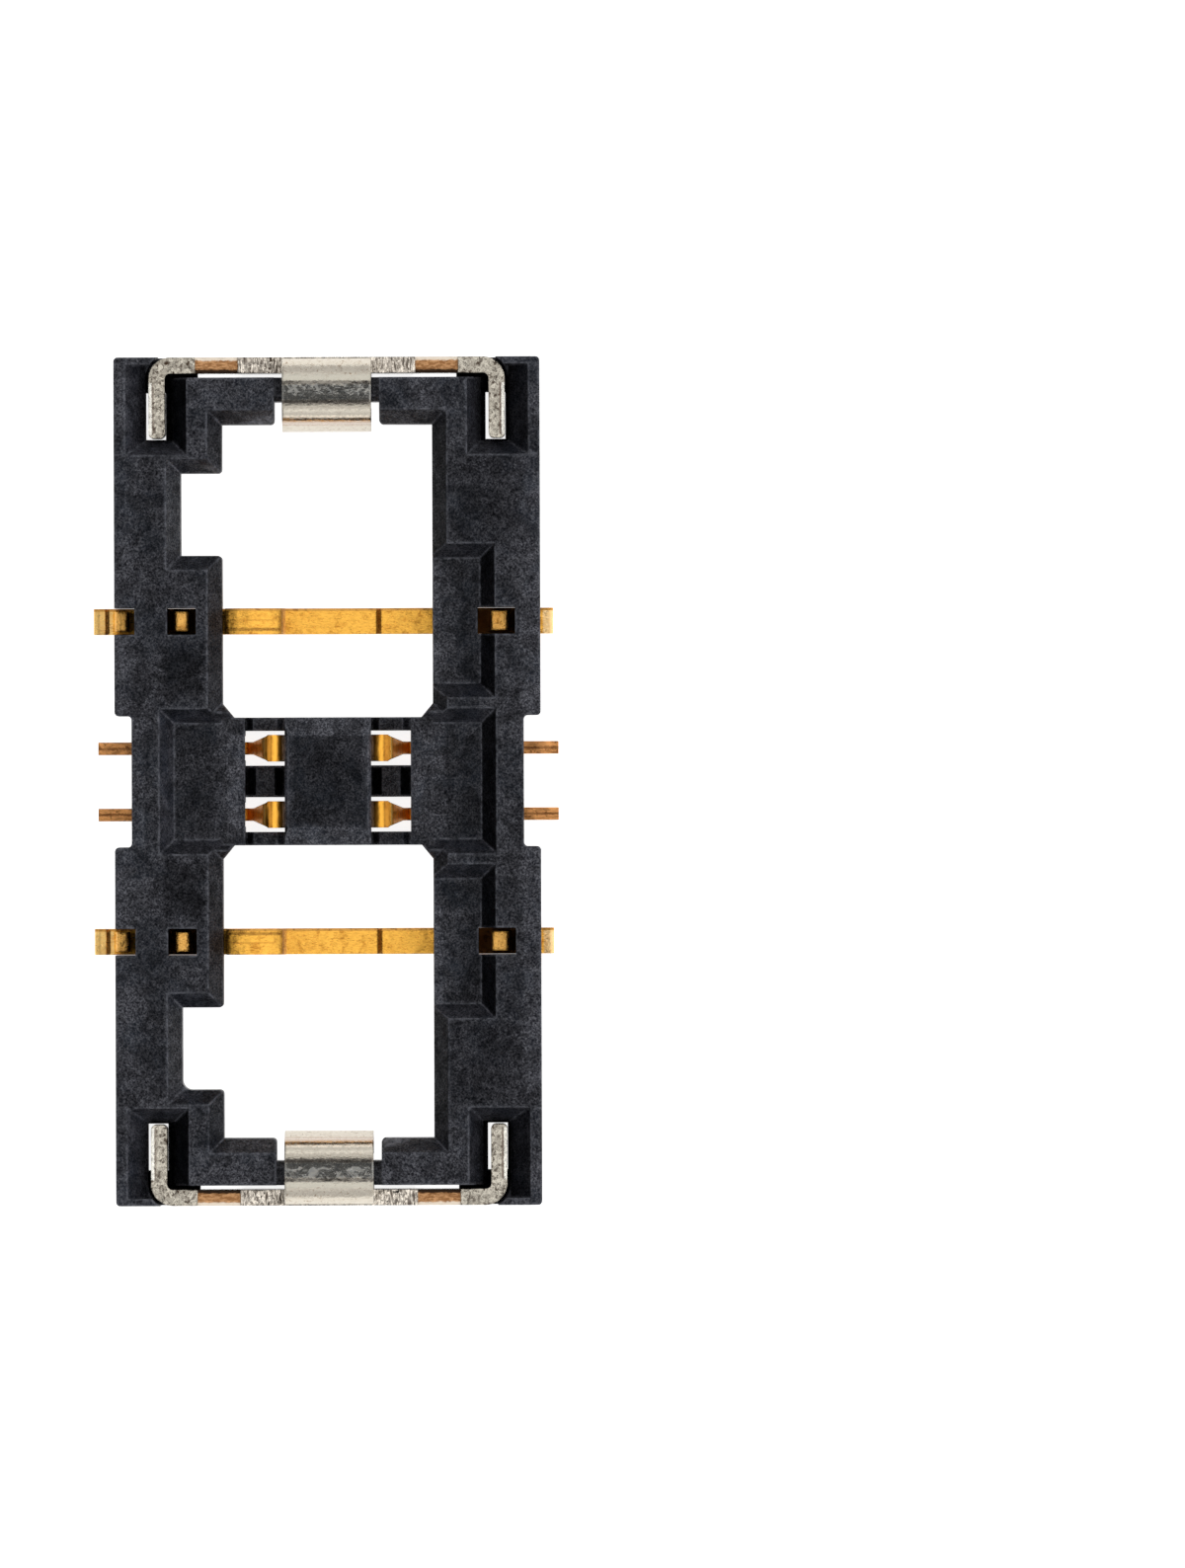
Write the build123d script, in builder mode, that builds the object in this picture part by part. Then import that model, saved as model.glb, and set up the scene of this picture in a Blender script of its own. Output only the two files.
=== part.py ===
"""Board-mounted receptacle for a battery flexible circuit, in millimetres.

The receptacle stands on a circuit board, mating side up. X runs across the part,
Y along it and Z up from the solder plane. The origin is on the solder plane under
the middle of the moulded housing. Left is -X, the rear end is +Y, the front end is -Y.

Pieces: one moulded housing, two blanked power contacts on edge, four formed signal
contacts and two formed hold-down brackets with a saddle folded over each end wall.
"""

import os
from math import atan, degrees

from build123d import *

# Sheet stock
power_sheet = 0.16
signal_sheet = 0.06
bracket_sheet = 0.10

# Gap left between a metal piece and the moulding beside it, and where it is pressed in
fit_gap = 0.02
press_gap = 0.0025

# Housing envelope, with its underside held off the board
housing_width = 2.63
housing_length = 5.24
standoff = 0.03
rim_top = 0.70
waist_inset = 0.105
waist_length = 0.81
corner_radius = 0.025
opening_round = 0.025
outer_slope_width = 0.12
outer_slope_drop = 0.02

# Mating openings, one behind and one before the bridge
side_wall = 0.665
end_wall = 0.415
bridge_length = 0.79
lead_in_width = 0.09
lead_in_depth = 0.13
inner_chamfer_x = 0.07
inner_chamfer_y = 0.085
notch_depth = 0.255
notch_length = 0.51
notch_offset = 1.65
notch_round = 0.06

# Lowered bays in the side walls, with slanted ends
bay_floor = 0.53
bay_slant = 0.09
bay_length = 0.775
bay_reach = 0.295
bridge_bay_length = 0.72
bridge_bay_reach = 0.301

# Bridge with its island, between the two openings
island_width = 0.534
island_top = 0.59
island_roof = 0.11
island_end_slant = 0.11
island_slant_drop = 0.03
island_side_bevel = 0.02
rib_width = 0.134
ledge_width = 0.138
ledge_top = 0.50
slot_length = 0.215
end_web_top = 0.36
end_web_slant = 0.05
middle_web_top = 0.30
pit_width = 0.065
pit_length = 0.17
pit_floor = 0.12

# Power contacts and what holds them
power_pitch = 1.98
power_tail_left = 0.135
power_tail_right = 0.08
tail_rise = 0.13
tail_groove_inset = 0.05
tail_groove_width = 0.026
tail_groove_depth = 0.018
bar_rise = 0.20
bar_dip = 0.03
bar_dip_reach = 0.30
bar_step_run = 0.03
left_window_inset = 0.415
left_window_width = 0.177
left_post_width = 0.09
right_window_inset = 0.272
right_window_width = 0.232
right_post_width = 0.11
side_notch_depth = 0.125
side_post_width = 0.085
side_post_top = 0.36
post_top = 0.60
post_sheet = 0.12
post_round = 0.025
seat_rise = 0.06
tine_reach = 0.37
tine_top = 0.56
tine_root = 0.13
nose_height = 0.43
throat_round = 0.05
strap_cut_width = 0.23
strap_cut_depth = 0.03
strap_cut_left_inset = 0.434
strap_cut_right_inset = 0.452

# Signal contacts and what holds them
signal_pitch = 0.41
signal_tail = 0.215
tail_width = 0.078
tail_joggle = 0.025
joggle_inset = 0.20
riser_inset = 0.07
loop_width = 0.125
spring_low = 0.115
spring_flat = 0.12
apex_gap = 0.103
apex_height = 0.53
crest_run = 0.053
crest_drop = 0.012
tip_drop = 0.182
tip_run = 0.105
signal_bend = 0.045
head_bend = 0.034
neck_width = 0.068
shoulder_width = 0.145
shoulder_step = 0.014
head_width = 0.165
barb_width = 0.35
barb_bottom = 0.14
barb_top = 0.34
signal_groove = 0.15
cavity_roof = 0.06

# Hold-down brackets and what holds them
leg_inset = 0.215
leg_reach = 0.50
foot_length = 0.28
foot_slot_clearance = 0.005
leg_end_round = 0.03
pocket_floor = 0.20
pocket_slant = 0.085
pocket_outer_slant = 0.125
pocket_slant_depth = 0.22
pocket_inner_gap = 0.05
pocket_lip = 0.045
strip_top = 0.62
leg_bend = 0.034
strap_notch_width = 0.265
strap_notch_depth = 0.03
strap_notch_offset = 0.68
solder_edge_width = 1.06
solder_edge_slant = 0.07
end_recess_width = 1.60
end_gap = 0.026
saddle_width = 0.55
saddle_top = 0.75
saddle_reach = 0.415
saddle_outer_bend = 0.075
saddle_inner_bend = 0.035
saddle_clearance = 0.05
saddle_wall_gap = 0.04
tongue_bottom = 0.28
tongue_crease = 0.54
tongue_bulge = 0.055
tongue_bend = 0.03
tongue_lobe_drop = 0.05
tongue_lobe_width = 0.19
tongue_lobe_step = 0.02
tongue_lobe_back = 0.012
tongue_slit = 0.02

# Marks left on the underside by the mould
ejector_radius = 0.14
ejector_depth = 0.015
ejector_inset = 0.26
ejector_rows = (0.63, 1.835)
centre_ejector_radius = 0.09
parting_width = 0.024
parting_depth = 0.03
parting_inset = 0.492
parting_length = 2.68
rail_recess = 0.155
rail_recess_depth = 0.015
rail_recess_length = 3.48

# Places worked out from the sizes above
half_width = housing_width / 2
half_length = housing_length / 2
opening_half = half_width - side_wall
opening_near = bridge_length / 2
opening_far = half_length - end_wall
rim_height = rim_top - standoff
groove_ceiling = bar_rise
power_groove = power_sheet + 2 * press_gap
left_window_x = -half_width + left_window_inset
right_window_x = half_width - right_window_inset
island_half = island_width / 2
roof_underside = island_top - island_roof
slot_outer = opening_half - ledge_width
riser_x = opening_half + riser_inset
cavity_ceiling = ledge_top - cavity_roof
cross_half = signal_sheet / 2 + fit_gap
saddle_seat = saddle_top - bracket_sheet
saddle_half = saddle_width / 2
strip_inner = half_length - bracket_sheet
end_face = strip_inner - end_gap
leg_outer = half_width - leg_inset
leg_inner = leg_outer - bracket_sheet
leg_end = strip_inner + bracket_sheet - leg_reach
saddle_inner = half_length - saddle_reach


def upright(y):
    """Upright plane across the part at the given Y, its axes along +X and +Z."""
    return Plane(origin=(0, y, 0), x_dir=(1, 0, 0), z_dir=(0, -1, 0))


# Housing: two wings and a waist, cut from above for mating and from below for metal
with BuildPart() as housing:
    with BuildSketch(Plane.XY.offset(standoff)) as footprint:
        Rectangle(housing_width, housing_length)
        with Locations((-half_width, 0), (half_width, 0)):
            Rectangle(2 * waist_inset, waist_length, mode=Mode.SUBTRACT)
        fillet(footprint.vertices(), radius=corner_radius)
    extrude(amount=rim_height)

    # The rim falls away gently to the outside between the bracket pockets
    slope_length = 2 * (leg_end - fit_gap - pocket_slant)
    with BuildSketch(Plane.XZ):
        for side in (1, -1):
            Polygon(
                (side * half_width, rim_top - outer_slope_drop),
                (side * half_width, rim_top + outer_slope_drop),
                (side * (half_width - outer_slope_width), rim_top + outer_slope_drop),
                (side * (half_width - outer_slope_width), rim_top),
            )
    extrude(amount=slope_length / 2, both=True, mode=Mode.SUBTRACT)

    for end in (1, -1):
        # Through opening, with its finger notch and its chamfered inner corners
        with BuildSketch(Plane.XY.offset(standoff)) as opening:
            Polygon(
                (-opening_half, end * (opening_near + inner_chamfer_y)),
                (-opening_half + inner_chamfer_x, end * opening_near),
                (opening_half - inner_chamfer_x, end * opening_near),
                (opening_half, end * (opening_near + inner_chamfer_y)),
                (opening_half, end * opening_far),
                (-opening_half, end * opening_far),
            )
            with Locations((-opening_half, end * notch_offset)):
                Rectangle(2 * notch_depth, notch_length)
            notch_corners = opening.vertices().group_by(Axis.X)[0].sort_by(Axis.Y)
            if end < 0:
                fillet(notch_corners[0], radius=notch_round)
            notch_mouth = opening.vertices().filter_by(
                lambda corner: abs(corner.X + opening_half) < opening_round
                and abs(abs(abs(corner.Y) - notch_offset) - notch_length / 2) < opening_round
            )
            fillet(notch_mouth, radius=opening_round)
        extrude(amount=rim_height, mode=Mode.SUBTRACT)

        # Slanted lead-in round the top edge of the opening and its notch
        lead_in_far = end * (opening_far + lead_in_width)
        lead_in_near = end * opening_near
        lead_in_taper = degrees(atan(lead_in_width / lead_in_depth))
        with BuildSketch(Plane.XY.offset(rim_top)):
            with Locations((0, (lead_in_far + lead_in_near) / 2)):
                Rectangle(2 * (opening_half + lead_in_width), abs(lead_in_far - lead_in_near))
            with Locations((-opening_half, end * notch_offset)):
                Rectangle(2 * (notch_depth + lead_in_width), notch_length + 2 * lead_in_width)
        extrude(amount=-lead_in_depth, taper=lead_in_taper, mode=Mode.SUBTRACT)

        # Lowered bay in the right wall, beside each power contact
        bay_rise = rim_top - bay_floor
        bay_taper = -degrees(atan(bay_slant / bay_rise))
        with BuildSketch(Plane.XY.offset(bay_floor)):
            with Locations((opening_half, end * power_pitch / 2)):
                Rectangle(2 * bay_reach, bay_length)
        extrude(amount=bay_rise, taper=bay_taper, mode=Mode.SUBTRACT)

    # Lowered bay right across the bridge
    with BuildSketch(Plane.XY.offset(bay_floor)):
        Rectangle(2 * (opening_half + bridge_bay_reach), bridge_bay_length)
    extrude(amount=bay_rise, taper=bay_taper, mode=Mode.SUBTRACT)

    # Ledges, webs and pits of the bridge, stepped down from the bay
    with BuildSketch(Plane.XZ):
        for side in (1, -1):
            Polygon(
                (side * opening_half, bay_floor),
                (side * opening_half, rim_top),
                (side * slot_outer, rim_top),
                (side * slot_outer, ledge_top),
            )
    extrude(amount=bridge_length / 2, both=True, mode=Mode.SUBTRACT)
    with BuildSketch(Plane.XZ):
        Rectangle(2 * slot_outer, rim_top, align=(Align.CENTER, Align.MIN))
        Rectangle(2 * slot_outer, end_web_top, align=(Align.CENTER, Align.MIN), mode=Mode.SUBTRACT)
        for side in (1, -1):
            for web_end, step in ((slot_outer, -end_web_slant), (island_half, end_web_slant)):
                Polygon(
                    (side * web_end, end_web_top),
                    (side * (web_end + step), end_web_top),
                    (side * web_end, middle_web_top),
                )
    extrude(amount=bridge_length / 2, both=True, mode=Mode.SUBTRACT)
    with BuildSketch(Plane.XY.offset(middle_web_top)):
        Rectangle(2 * slot_outer, signal_pitch)
    extrude(amount=end_web_top - middle_web_top, mode=Mode.SUBTRACT)
    with BuildSketch(Plane.XY.offset(pit_floor)):
        for side in (1, -1):
            with Locations(
                (side * (slot_outer - pit_width / 2), 0),
                (side * (island_half + pit_width / 2), 0),
            ):
                Rectangle(pit_width, pit_length)
    extrude(amount=middle_web_top - pit_floor, mode=Mode.SUBTRACT)

    # Island on its rib, the ends of its roof slanted and the long edges eased
    with BuildSketch(Plane.XY.offset(middle_web_top)):
        Rectangle(rib_width, bridge_length)
    extrude(amount=island_top - middle_web_top)
    with BuildSketch(Plane.XZ) as roof:
        with Locations((0, roof_underside)):
            Rectangle(island_width, island_roof, align=(Align.CENTER, Align.MIN))
        chamfer(roof.vertices().group_by(Axis.Y)[-1], length=island_side_bevel)
    extrude(amount=bridge_length / 2, both=True)
    with BuildSketch(Plane.YZ):
        for end in (1, -1):
            Polygon(
                (end * (bridge_length / 2 - island_end_slant), island_top),
                (end * bridge_length / 2, island_top),
                (end * bridge_length / 2, island_top - island_slant_drop),
            )
    extrude(amount=island_half, both=True, mode=Mode.SUBTRACT)

    # Spring slots of the signal contacts, open from below up to the island roof
    with BuildSketch(Plane.XY.offset(standoff)):
        for side in (1, -1):
            for row in (1, -1):
                with Locations((side * (rib_width / 2 + slot_outer) / 2, row * signal_pitch / 2)):
                    Rectangle(slot_outer - rib_width / 2, slot_length)
    extrude(amount=roof_underside - standoff, mode=Mode.SUBTRACT)

    # Signal contact seats: tail groove, cross slot for the barbs and loop cavity
    with BuildSketch(Plane.XY.offset(standoff)):
        for side in (1, -1):
            for row in (1, -1):
                with Locations((side * (riser_x + half_width) / 2, row * signal_pitch / 2)):
                    Rectangle(half_width - riser_x, signal_groove)
    extrude(amount=barb_bottom - standoff, mode=Mode.SUBTRACT)
    with BuildSketch(Plane.XY.offset(standoff)):
        for side in (1, -1):
            for row in (1, -1):
                with Locations((side * riser_x, row * signal_pitch / 2)):
                    Rectangle(2 * cross_half, barb_width)
                with Locations((side * (riser_x + cross_half + slot_outer) / 2, row * signal_pitch / 2)):
                    Rectangle(riser_x + cross_half - slot_outer, signal_groove)
    extrude(amount=cavity_ceiling - standoff, mode=Mode.SUBTRACT)

    # Power contact seats: a groove right across, two windows and a side notch
    for end in (1, -1):
        power_y = end * power_pitch / 2
        with BuildSketch(Plane.XY.offset(standoff)):
            with Locations((0, power_y)):
                Rectangle(housing_width, power_groove)
        extrude(amount=groove_ceiling - standoff, mode=Mode.SUBTRACT)
        with BuildSketch(Plane.XY.offset(groove_ceiling)):
            with Locations((left_window_x, power_y)):
                Rectangle(left_window_width, power_groove)
            with Locations((right_window_x, power_y)):
                Rectangle(right_window_width, power_groove)
            with Locations((-half_width, power_y)):
                Rectangle(2 * side_notch_depth, power_groove)
        extrude(amount=rim_top - groove_ceiling, mode=Mode.SUBTRACT)

    # Bracket seats: recessed end wall, corner pockets, foot slots and saddle recess
    pocket_outer = leg_outer + fit_gap
    pocket_inner = leg_inner - pocket_inner_gap
    pocket_end = leg_end - fit_gap
    pocket_middle = (pocket_inner + pocket_outer) / 2
    pocket_far = half_length + fit_gap
    pocket_slant_far = half_length - pocket_lip
    slant_base = rim_top - pocket_slant_depth
    for end in (1, -1):
        with BuildSketch(Plane.XY.offset(standoff)):
            with Locations((0, end * half_length)):
                Rectangle(end_recess_width, 2 * (bracket_sheet + end_gap))
        extrude(amount=rim_height, mode=Mode.SUBTRACT)
        with BuildSketch(Plane.XY.offset(pocket_floor)) as pocket:
            for side in (1, -1):
                with Locations((side * pocket_middle, end * (pocket_end + pocket_far) / 2)):
                    Rectangle(pocket_outer - pocket_inner, pocket_far - pocket_end)
            with Locations((0, end * (end_face + pocket_far) / 2)):
                Rectangle(2 * pocket_outer, pocket_far - end_face)
            outer_corners = pocket.vertices().filter_by(
                lambda corner: abs(corner.Y) > half_length and abs(corner.X) > leg_outer
            )
            fillet(outer_corners, radius=leg_bend + bracket_sheet + fit_gap)
        extrude(amount=rim_top - pocket_floor, mode=Mode.SUBTRACT)
        for side in (1, -1):
            for slant_z, share in ((slant_base, 0), (rim_top, 1)):
                inner = pocket_inner - share * pocket_slant
                outer = pocket_outer + share * pocket_outer_slant
                near = pocket_end - share * pocket_slant
                with BuildSketch(Plane.XY.offset(slant_z)):
                    with Locations((side * (inner + outer) / 2, end * (near + pocket_slant_far) / 2)):
                        Rectangle(outer - inner, pocket_slant_far - near)
            loft(ruled=True, mode=Mode.SUBTRACT)
        # Slots for the feet, which lean on the right side of them
        with BuildSketch(Plane.XY.offset(standoff)):
            for side in (1, -1):
                slot_x = side * (leg_inner + leg_outer) / 2 - (fit_gap - press_gap) / 2
                with Locations((slot_x, end * (leg_end + foot_length / 2))):
                    Rectangle(bracket_sheet + fit_gap + press_gap, foot_length + 2 * foot_slot_clearance)
        extrude(amount=pocket_floor - standoff, mode=Mode.SUBTRACT)
        with BuildSketch(Plane.XY.offset(standoff)):
            with Locations((0, end * (end_face + end_gap / 2))):
                Rectangle(saddle_width, end_gap)
        extrude(amount=saddle_seat - standoff)
        with BuildSketch(Plane.XY.offset(saddle_seat)):
            with Locations((0, end * half_length)):
                Rectangle(saddle_width + 2 * saddle_clearance, 4 * end_wall)
        extrude(amount=rim_top - saddle_seat, mode=Mode.SUBTRACT)
        recess_face = saddle_inner + bracket_sheet + saddle_wall_gap
        with BuildSketch(Plane.XY.offset(standoff)):
            with Locations((0, end * (opening_far - lead_in_width))):
                Rectangle(
                    saddle_width + 2 * saddle_clearance,
                    2 * (recess_face - opening_far + lead_in_width),
                )
        extrude(amount=rim_height, mode=Mode.SUBTRACT)

        # The mouth of the saddle recess has rounded corners
        mouth_round_x = saddle_half + saddle_clearance + opening_round
        mouth_round_y = opening_far + opening_round
        with BuildSketch(Plane.XY.offset(standoff)):
            for side in (1, -1):
                corner_x = side * (mouth_round_x - opening_round / 2)
                corner_y = end * (mouth_round_y - opening_round / 2)
                with Locations((corner_x, corner_y)):
                    Rectangle(opening_round, opening_round)
                with Locations((side * mouth_round_x, end * mouth_round_y)):
                    Circle(opening_round, mode=Mode.SUBTRACT)
        extrude(amount=rim_height, mode=Mode.SUBTRACT)

        # The wall's upper edges are bevelled to clear the inside of the saddle's bends
        with BuildSketch(Plane.YZ):
            for edge_y, step in ((strip_inner, -saddle_outer_bend), (recess_face, saddle_inner_bend)):
                Polygon(
                    (end * edge_y, saddle_seat),
                    (end * (edge_y + step), saddle_seat),
                    (end * edge_y, saddle_seat - abs(step)),
                )
        extrude(amount=saddle_half + saddle_clearance, both=True, mode=Mode.SUBTRACT)

    # Ejector pin marks and parting lines on the underside
    with BuildSketch(Plane.XY.offset(standoff)):
        for row_y in ejector_rows:
            with GridLocations(2 * (half_width - ejector_inset), 2 * row_y, 2, 2):
                Circle(ejector_radius)
        Circle(centre_ejector_radius)
    extrude(amount=ejector_depth, mode=Mode.SUBTRACT)
    with BuildSketch(Plane.XY.offset(standoff)):
        with Locations((-half_width + parting_inset, 0)):
            Rectangle(parting_width, parting_length)
    extrude(amount=parting_depth, mode=Mode.SUBTRACT)
    with BuildSketch(Plane.XY.offset(standoff)):
        with Locations((opening_half, 0)):
            Rectangle(2 * rail_recess, rail_recess_length)
        Rectangle(2 * opening_half, bridge_length, mode=Mode.SUBTRACT)
    extrude(amount=rail_recess_depth, mode=Mode.SUBTRACT)
housing.part.label = "housing"


def power_contact(y):
    """Blanked power contact on edge: tails, bar, seating posts and spring tine."""
    tail_left = -half_width - power_tail_left
    tail_right = half_width + power_tail_right
    cut_left = -half_width + strap_cut_left_inset
    cut_right = half_width - strap_cut_right_inset
    left_seat = left_window_x - left_window_width / 2
    right_seat = right_window_x - right_window_width / 2
    right_post = right_window_x + fit_gap
    tine_left = -opening_half + fit_gap
    tine_right = tine_left + tine_reach
    tine_foot = tine_left + tine_root
    with BuildPart() as contact:
        # Bar on the solder plane, with a tail past each side of the housing
        with BuildSketch(upright(y)) as bar:
            Polygon(
                (tail_left, 0),
                (tail_right, 0),
                (tail_right, tail_rise),
                (half_width - fit_gap, tail_rise),
                (half_width - fit_gap, bar_rise),
                (-half_width + fit_gap, bar_rise),
                (-half_width + fit_gap, tail_rise),
                (tail_left, tail_rise),
            )
            tail_ends = bar.vertices().group_by(Axis.X)
            fillet([*tail_ends[0], *tail_ends[-1]], radius=post_round)

            # Groove coined across the left tail
            Polygon(
                (-half_width - tail_groove_inset - tail_groove_width / 2, tail_rise),
                (-half_width - tail_groove_inset, tail_rise - tail_groove_depth),
                (-half_width - tail_groove_inset + tail_groove_width / 2, tail_rise),
                mode=Mode.SUBTRACT,
            )

            # Dip in the bar where it crosses the opening, with a slanted step at its right end
            Polygon(
                (tine_foot, bar_rise + bar_dip),
                (tine_foot, bar_rise - bar_dip),
                (bar_dip_reach, bar_rise - bar_dip),
                (bar_dip_reach + bar_step_run, bar_rise),
                (bar_dip_reach + bar_step_run, bar_rise + bar_dip),
                mode=Mode.SUBTRACT,
            )

            # Cuts where the carrier straps were parted
            for cut_x in (cut_left, cut_right):
                Polygon(
                    (cut_x - strap_cut_width / 2 - strap_cut_depth, 0),
                    (cut_x - strap_cut_width / 2, strap_cut_depth),
                    (cut_x + strap_cut_width / 2, strap_cut_depth),
                    (cut_x + strap_cut_width / 2 + strap_cut_depth, 0),
                    mode=Mode.SUBTRACT,
                )
        extrude(amount=power_sheet / 2, both=True)

        # Shoulders that fill the foot of each window, and the post of each
        with BuildSketch(upright(y)):
            with Locations((left_seat, bar_rise - bar_dip)):
                Rectangle(left_window_width, seat_rise + bar_dip, align=(Align.MIN, Align.MIN))
            with Locations((right_seat, bar_rise - bar_dip)):
                Rectangle(right_window_width, seat_rise + bar_dip, align=(Align.MIN, Align.MIN))
        extrude(amount=power_sheet / 2, both=True)
        with BuildSketch(upright(y)):
            with Locations((left_window_x, 0)):
                Rectangle(left_post_width, post_top, align=(Align.CENTER, Align.MIN))
            with Locations((right_post, 0)):
                Rectangle(right_post_width, post_top - seat_rise, align=(Align.CENTER, Align.MIN))
            with Locations((-half_width, 0)):
                Rectangle(side_post_width, side_post_top, align=(Align.MIN, Align.MIN))
        extrude(amount=post_sheet / 2, both=True)

        # Spring tine rising beside the left wall and leaning over the bar
        with BuildSketch(upright(y)):
            with BuildLine():
                foot = Line((tine_foot, bar_rise - bar_dip), (tine_left, bar_rise - bar_dip))
                flank = Line(foot @ 1, (tine_left, tine_top - 2 * post_round))
                crown = ThreePointArc(
                    flank @ 1,
                    (tine_left + tine_reach / 2, tine_top),
                    (tine_right - post_round, tine_top - 2 * post_round),
                )
                face = Line(crown @ 1, (tine_right, nose_height + post_round))
                nose = Line(face @ 1, (tine_right, nose_height))
                throat_top = (tine_foot + throat_round, nose_height - tine_root)
                under = Line(nose @ 1, throat_top)
                Spline(
                    under @ 1,
                    foot @ 0,
                    tangents=[under % 1, (0, -1)],
                )
            make_face()
        extrude(amount=power_sheet / 2, both=True)

        # The tops of the posts are coined round
        post_ends = contact.edges().filter_by(Axis.Y).filter_by(
            lambda edge: edge.center().Z > side_post_top - post_round
            and (edge.center().X < -opening_half or edge.center().X > opening_half)
        )
        fillet(post_ends, radius=post_round)
    return contact


def signal_contact(y):
    """Formed signal contact of the right row: tail, barbed riser, loop, spring, head."""
    tail_end = half_width + signal_tail - waist_inset
    joggle_x = half_width - waist_inset - joggle_inset
    loop_x = riser_x - loop_width
    spring_x = loop_x - spring_flat
    apex_x = island_half + apex_gap
    half_sheet = signal_sheet / 2
    corners = (
        (tail_end, half_sheet),
        (joggle_x, half_sheet),
        (joggle_x - 2 * tail_joggle, half_sheet + tail_joggle),
        (riser_x, half_sheet + tail_joggle),
        (riser_x, cavity_ceiling - fit_gap - half_sheet),
        (loop_x, cavity_ceiling - fit_gap - half_sheet),
        (loop_x - fit_gap, spring_low),
        (spring_x, spring_low),
        (apex_x, apex_height),
        (apex_x - crest_run, apex_height - crest_drop),
        (apex_x - tip_run, apex_height - tip_drop),
    )
    bends = [signal_bend] * (len(corners) - 2)
    bends[-2:] = head_bend, head_bend
    with BuildPart() as contact:
        # Strip swept from the end of the tail to the tip of the head
        with BuildLine(upright(y)) as path:
            FilletPolyline(*corners, radius=bends)
        with BuildSketch(Plane(origin=path.line @ 0, x_dir=(0, 1, 0), z_dir=path.line % 0)):
            Rectangle(head_width + fit_gap, signal_sheet)
        sweep()

        # Plan of the blank, from the narrow tail to the spade-shaped head
        with BuildSketch(Plane.XY.offset(-fit_gap)):
            with Locations(((spring_x + tail_end) / 2, y)):
                Rectangle(tail_end - spring_x + 2 * fit_gap, tail_width)
            Polygon(
                (spring_x, y + neck_width / 2),
                (spring_x, y - neck_width / 2),
                (apex_x + shoulder_step, y - shoulder_width / 2),
                (apex_x, y - head_width / 2),
                (0, y - head_width / 2),
                (0, y + head_width / 2),
                (apex_x, y + head_width / 2),
                (apex_x + shoulder_step, y + shoulder_width / 2),
            )
        extrude(amount=rim_top, mode=Mode.INTERSECT)

        # Barbs that bite into the cross slot on both sides of the riser
        with BuildSketch(Plane.YZ.offset(riser_x)):
            with Locations((y, (barb_bottom + barb_top) / 2)):
                Rectangle(barb_width, barb_top - barb_bottom)
        extrude(amount=signal_sheet / 2, both=True)
    return contact


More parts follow.
